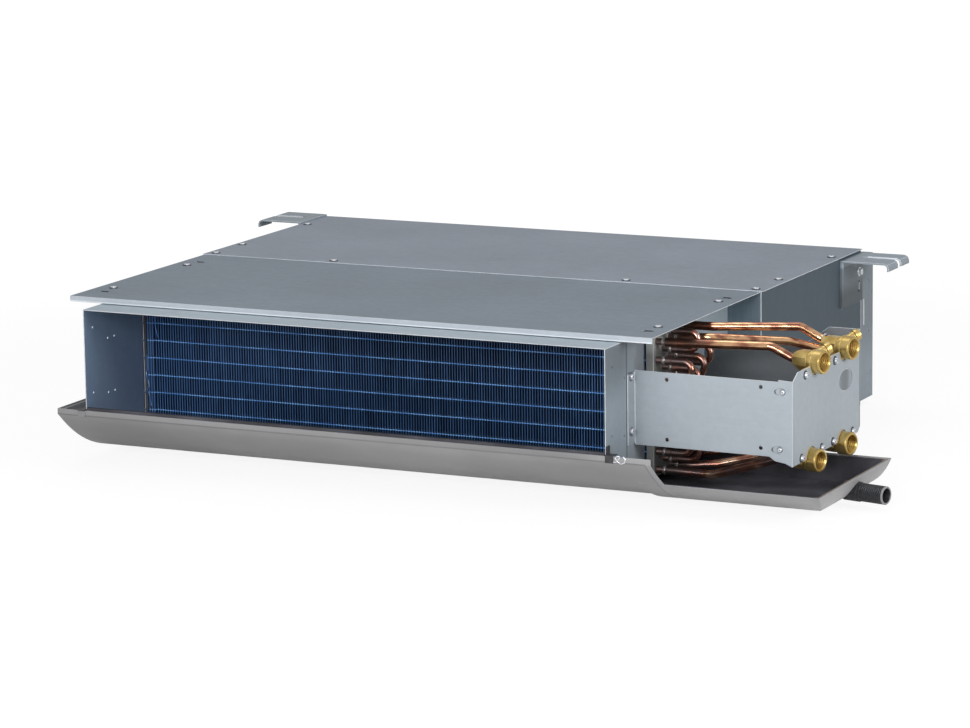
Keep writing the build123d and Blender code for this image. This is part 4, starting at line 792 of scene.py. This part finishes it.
for name, place, ear_z, tail, pipes in unions:
    form = Form()
    union_form(form, place, ear_z, tail)
    if name.startswith("top"):
        start = Vector((bracket_face, *place)) - union_axis * 14.0
        form.turned([(7.0, 0.0), (7.0, 20.0), (6.3, 21.5), (6.3, 25.0), (7.0, 26.5), (7.0, 29.5),
                     (6.6, 30.0), (3.0, 30.0)], start, vent_axis, 32)
    form.piece(name + "_body", (brass, bore_brass), sharp=28, stands_for=(name,))
for name, body in (("front_vent_cap", "front_vent"), ("rear_vent_cap", "rear_vent")):
    softened(name, (brass, brass), thin=0.0005, shortest=0.0015, body=body)
form = Form()
for name, place, ear_z, tail, pipes in unions:
    for rise in pipes:
        root = Vector((bracket_face, place[0], place[1] + rise))
        form.turned([(5.9, -34.5), (6.9, -32.6), (7.2, -31.2), (7.2, -30.0)], root, union_axis, 24)
form.piece("union_solder", (solder,), sharp=60)


# Drain pan: folded steel with a warm grey powder coat that has a slight orange-peel skin. Along the rim
# and down the step at its right end the sheet is pressed flat; this band is painted lighter as painted
# highlight, with a dark line of painted shade below it. The pan is painted darker towards the top of the
# front and at the left, and lighter on its right extension, as painted light.
pan_paint, first, shader, place = finish("pan_powder_coat")
peel = noise(first, place, 380.0, 1.0)
dust = noise(first, place, 9.0, 4.0)
along = [first.node("ShaderNodeSeparateXYZ", values={"Vector": place}, output=n) for n in range(3)]
rim_drop = (0.087 - along[2]).high(along[0] - 0.3650)
end_reach = (0.3662 - along[0]).high(along[1] + 0.2)
band = rim_drop.low(end_reach.high(along[0] * 20.0 - 7.33))
edge = 1.0 - band.fade(0.0065, 0.0080)
line = band.fade(0.0062, 0.0074) * (1.0 - band.fade(0.0080, 0.0100)) * (1.0 - along[0].fade(0.3655, 0.3665))
# Painted light: darker at the left and towards the top of the front, lighter on the right extension.
lighter = (along[0].fade(-0.45, -0.10) * 0.18 - along[0].fade(0.0, 0.32) * 0.07
           + along[0].fade(0.30, 0.46) * 0.20 - along[0].fade(0.570, 0.584) * 0.15 + 0.92)
lighter = lighter * (1.26 - along[2].fade(-0.010, 0.060) * 0.42)
# The band's painted highlight is dimmed by different amounts along the pan.
band_painted_dimming = along[0].fade(-0.35, 0.15) * 0.20 - along[0].fade(0.22, 0.32) * 0.32 + 0.12
lighter = lighter * (1.0 - edge * band_painted_dimming)
tint = dust.fade(0.3, 0.7).mix((0.325, 0.323, 0.329), (0.375, 0.373, 0.38))
# The pressed band is painted lighter as painted highlight, and the line below it dark as painted shade.
tint = (edge * 0.35).mix(tint, (0.44, 0.44, 0.45))
tint = (line * 0.6).mix(tint, (0.16, 0.16, 0.165))
shift = first.node("ShaderNodeCombineColor", values={0: lighter, 1: lighter, 2: lighter})
tint = first.node("ShaderNodeMix", {"data_type": "RGBA", "blend_type": "MULTIPLY"},
                  {0: 1.0, 6: tint, 7: shift}, 2)
feed(first, shader, Base_Color=tint, Metallic=0.0, Roughness=dust * 0.15 + 0.42,
     Normal=bumped(first, peel * 0.25 + edge, 0.2, 0.0006))
softened("drain_pan", (pan_paint, pan_paint))


# Pan liner: black closed-cell foam glued inside the pan against sweating. Its cut edge shows brown at the
# right end, and left of the outlet it is grey. Dark blocks of the same foam sit behind the slots of the
# left outlet plate and the two left slots of the front cover, as painted shade seen through the slots.
foam, first, shader, place = finish("black_foam")
cell = noise(first, place, 520.0, 3.0)
sheen = noise(first, place, 14.0, 3.0)
along = [first.node("ShaderNodeSeparateXYZ", values={"Vector": place}, output=n) for n in range(3)]
cut = along[0].fade(0.574, 0.580) * along[2].fade(0.036, 0.041)
tint = sheen.fade(0.3, 0.8).mix((0.026, 0.026, 0.033), (0.090, 0.090, 0.110))
tint = (cut * (cell * 0.5 + 0.5)).mix(tint, (0.30, 0.24, 0.20))
tint = (1.0 - along[0].fade(-0.5030, -0.5000)).mix(tint, (0.31, 0.31, 0.315))
feed(first, shader, Base_Color=tint, Roughness=cell * 0.25 + 0.6, Normal=bumped(first, cell, 0.3, 0.0008))
dress(foam, "pan_liner")
# Painted shade: dark foam blocks behind the slots.
form = Form()
form.block((48.0, 105.0, -212.0), (49.7, 117.0, -13.0))
form.block((48.0, 116.3, -212.0), (53.8, 119.4, -13.0))
for front_edge, back_edge in ((39.0, 53.0), (312.0, 326.0)):
    form.block((14.0, front_edge, -4.0), (40.0, back_edge, -1.3))
form.piece("slot_foam", (foam,))


# Drain spout: dark plastic tube, smooth at the root, with a moulded thread on its outer half and a worn
# grey rim.
plastic, first, shader, place = finish("dark_plastic")
fine = noise(first, place, 240.0)
feed(first, shader, Base_Color=fine.mix((0.016, 0.017, 0.020), (0.034, 0.035, 0.040)),
     Roughness=fine * 0.15 + 0.3)
rim_plastic, first, shader, place = finish("worn_plastic_rim")
fine = noise(first, place, 300.0)
feed(first, shader, Base_Color=fine.mix((0.16, 0.16, 0.17), (0.30, 0.30, 0.32)), Roughness=fine * 0.2 + 0.4)
form = Form()
spout_root, bore, crest, trough, rib_pitch = (1114.0, 155.0, -219.0), 9.9, 12.5, 11.5, 3.2
ribs = [step for n in range(11) for step in ((crest, 26.4 + rib_pitch * n), (crest, 27.6 + rib_pitch * n),
                                            (trough, 28.2 + rib_pitch * n), (trough, 29.2 + rib_pitch * n))]
form.turned([(bore, 0.0), (13.5, 0.0), (13.5, 23.2), (12.9, 24.0), (crest, 24.0)] + ribs + [(crest, 62.0)],
            spout_root, union_axis, 48)
form.turned([(crest, 62.0), (crest, 63.4), (11.9, 64.0), (10.1, 64.0), (bore, 63.6)], spout_root,
            union_axis, 48, 1)
form.turned([(bore, 63.6), (bore, 0.0)], spout_root, union_axis, 48)
form.piece("spout_tube", (plastic, rim_plastic), stands_for=("drain_spout",))


# Clips of dark spring steel that pin the outlet plates' toes to the pan's rim. A bright wire twisted over
# the rim holds the right one.
clip_finish, first, shader, place = finish("dark_spring_steel")
fine = noise(first, place, 150.0)
along = [first.node("ShaderNodeSeparateXYZ", values={"Vector": place}, output=n) for n in range(3)]
painted = (1.0 - along[0].fade(-0.1, 0.1)) * (1.0 - along[2].fade(0.0855, 0.0868))
tint = painted.mix(fine.mix((0.010, 0.010, 0.012), (0.09, 0.09, 0.10)), (0.25, 0.25, 0.26))
feed(first, shader, Base_Color=tint, Metallic=0.3, Roughness=fine * 0.2 + 0.35)
dress(clip_finish, "pan_clips")
twist = [(858.0, -50.1, -157.0), (862.0, -50.1, -160.5), (868.0, -50.1, -160.0), (872.0, -50.1, -155.0),
         (873.0, -49.8, -152.4), (869.0, -49.4, -152.2), (866.0, -50.1, -154.0), (869.0, -50.1, -159.0),
         (875.0, -50.1, -162.0), (880.0, -50.1, -160.0), (881.0, -50.1, -155.0), (878.0, -49.6, -152.4)]
form = Form()
form.tube(twist, 0.85)
form.piece("clip_wire", (zinc,), sharp=60)


# Motor and its capacitor: the motor is a drum with black paint, held in its cradle by two bands. The
# capacitor is an off-white can.
motor_paint, first, shader, place = finish("black_motor_paint")
fine = noise(first, place, 120.0)
feed(first, shader, Base_Color=fine.mix((0.016, 0.016, 0.018), (0.030, 0.030, 0.033)),
     Roughness=fine * 0.2 + 0.35)
dress(motor_paint, "fan_motor")
can, first, shader, place = finish("capacitor_can")
fine = noise(first, place, 60.0)
feed(first, shader, Base_Color=fine.mix((0.66, 0.66, 0.63), (0.76, 0.76, 0.73)), Roughness=fine * 0.1 + 0.25)
dress(can, "run_capacitor")
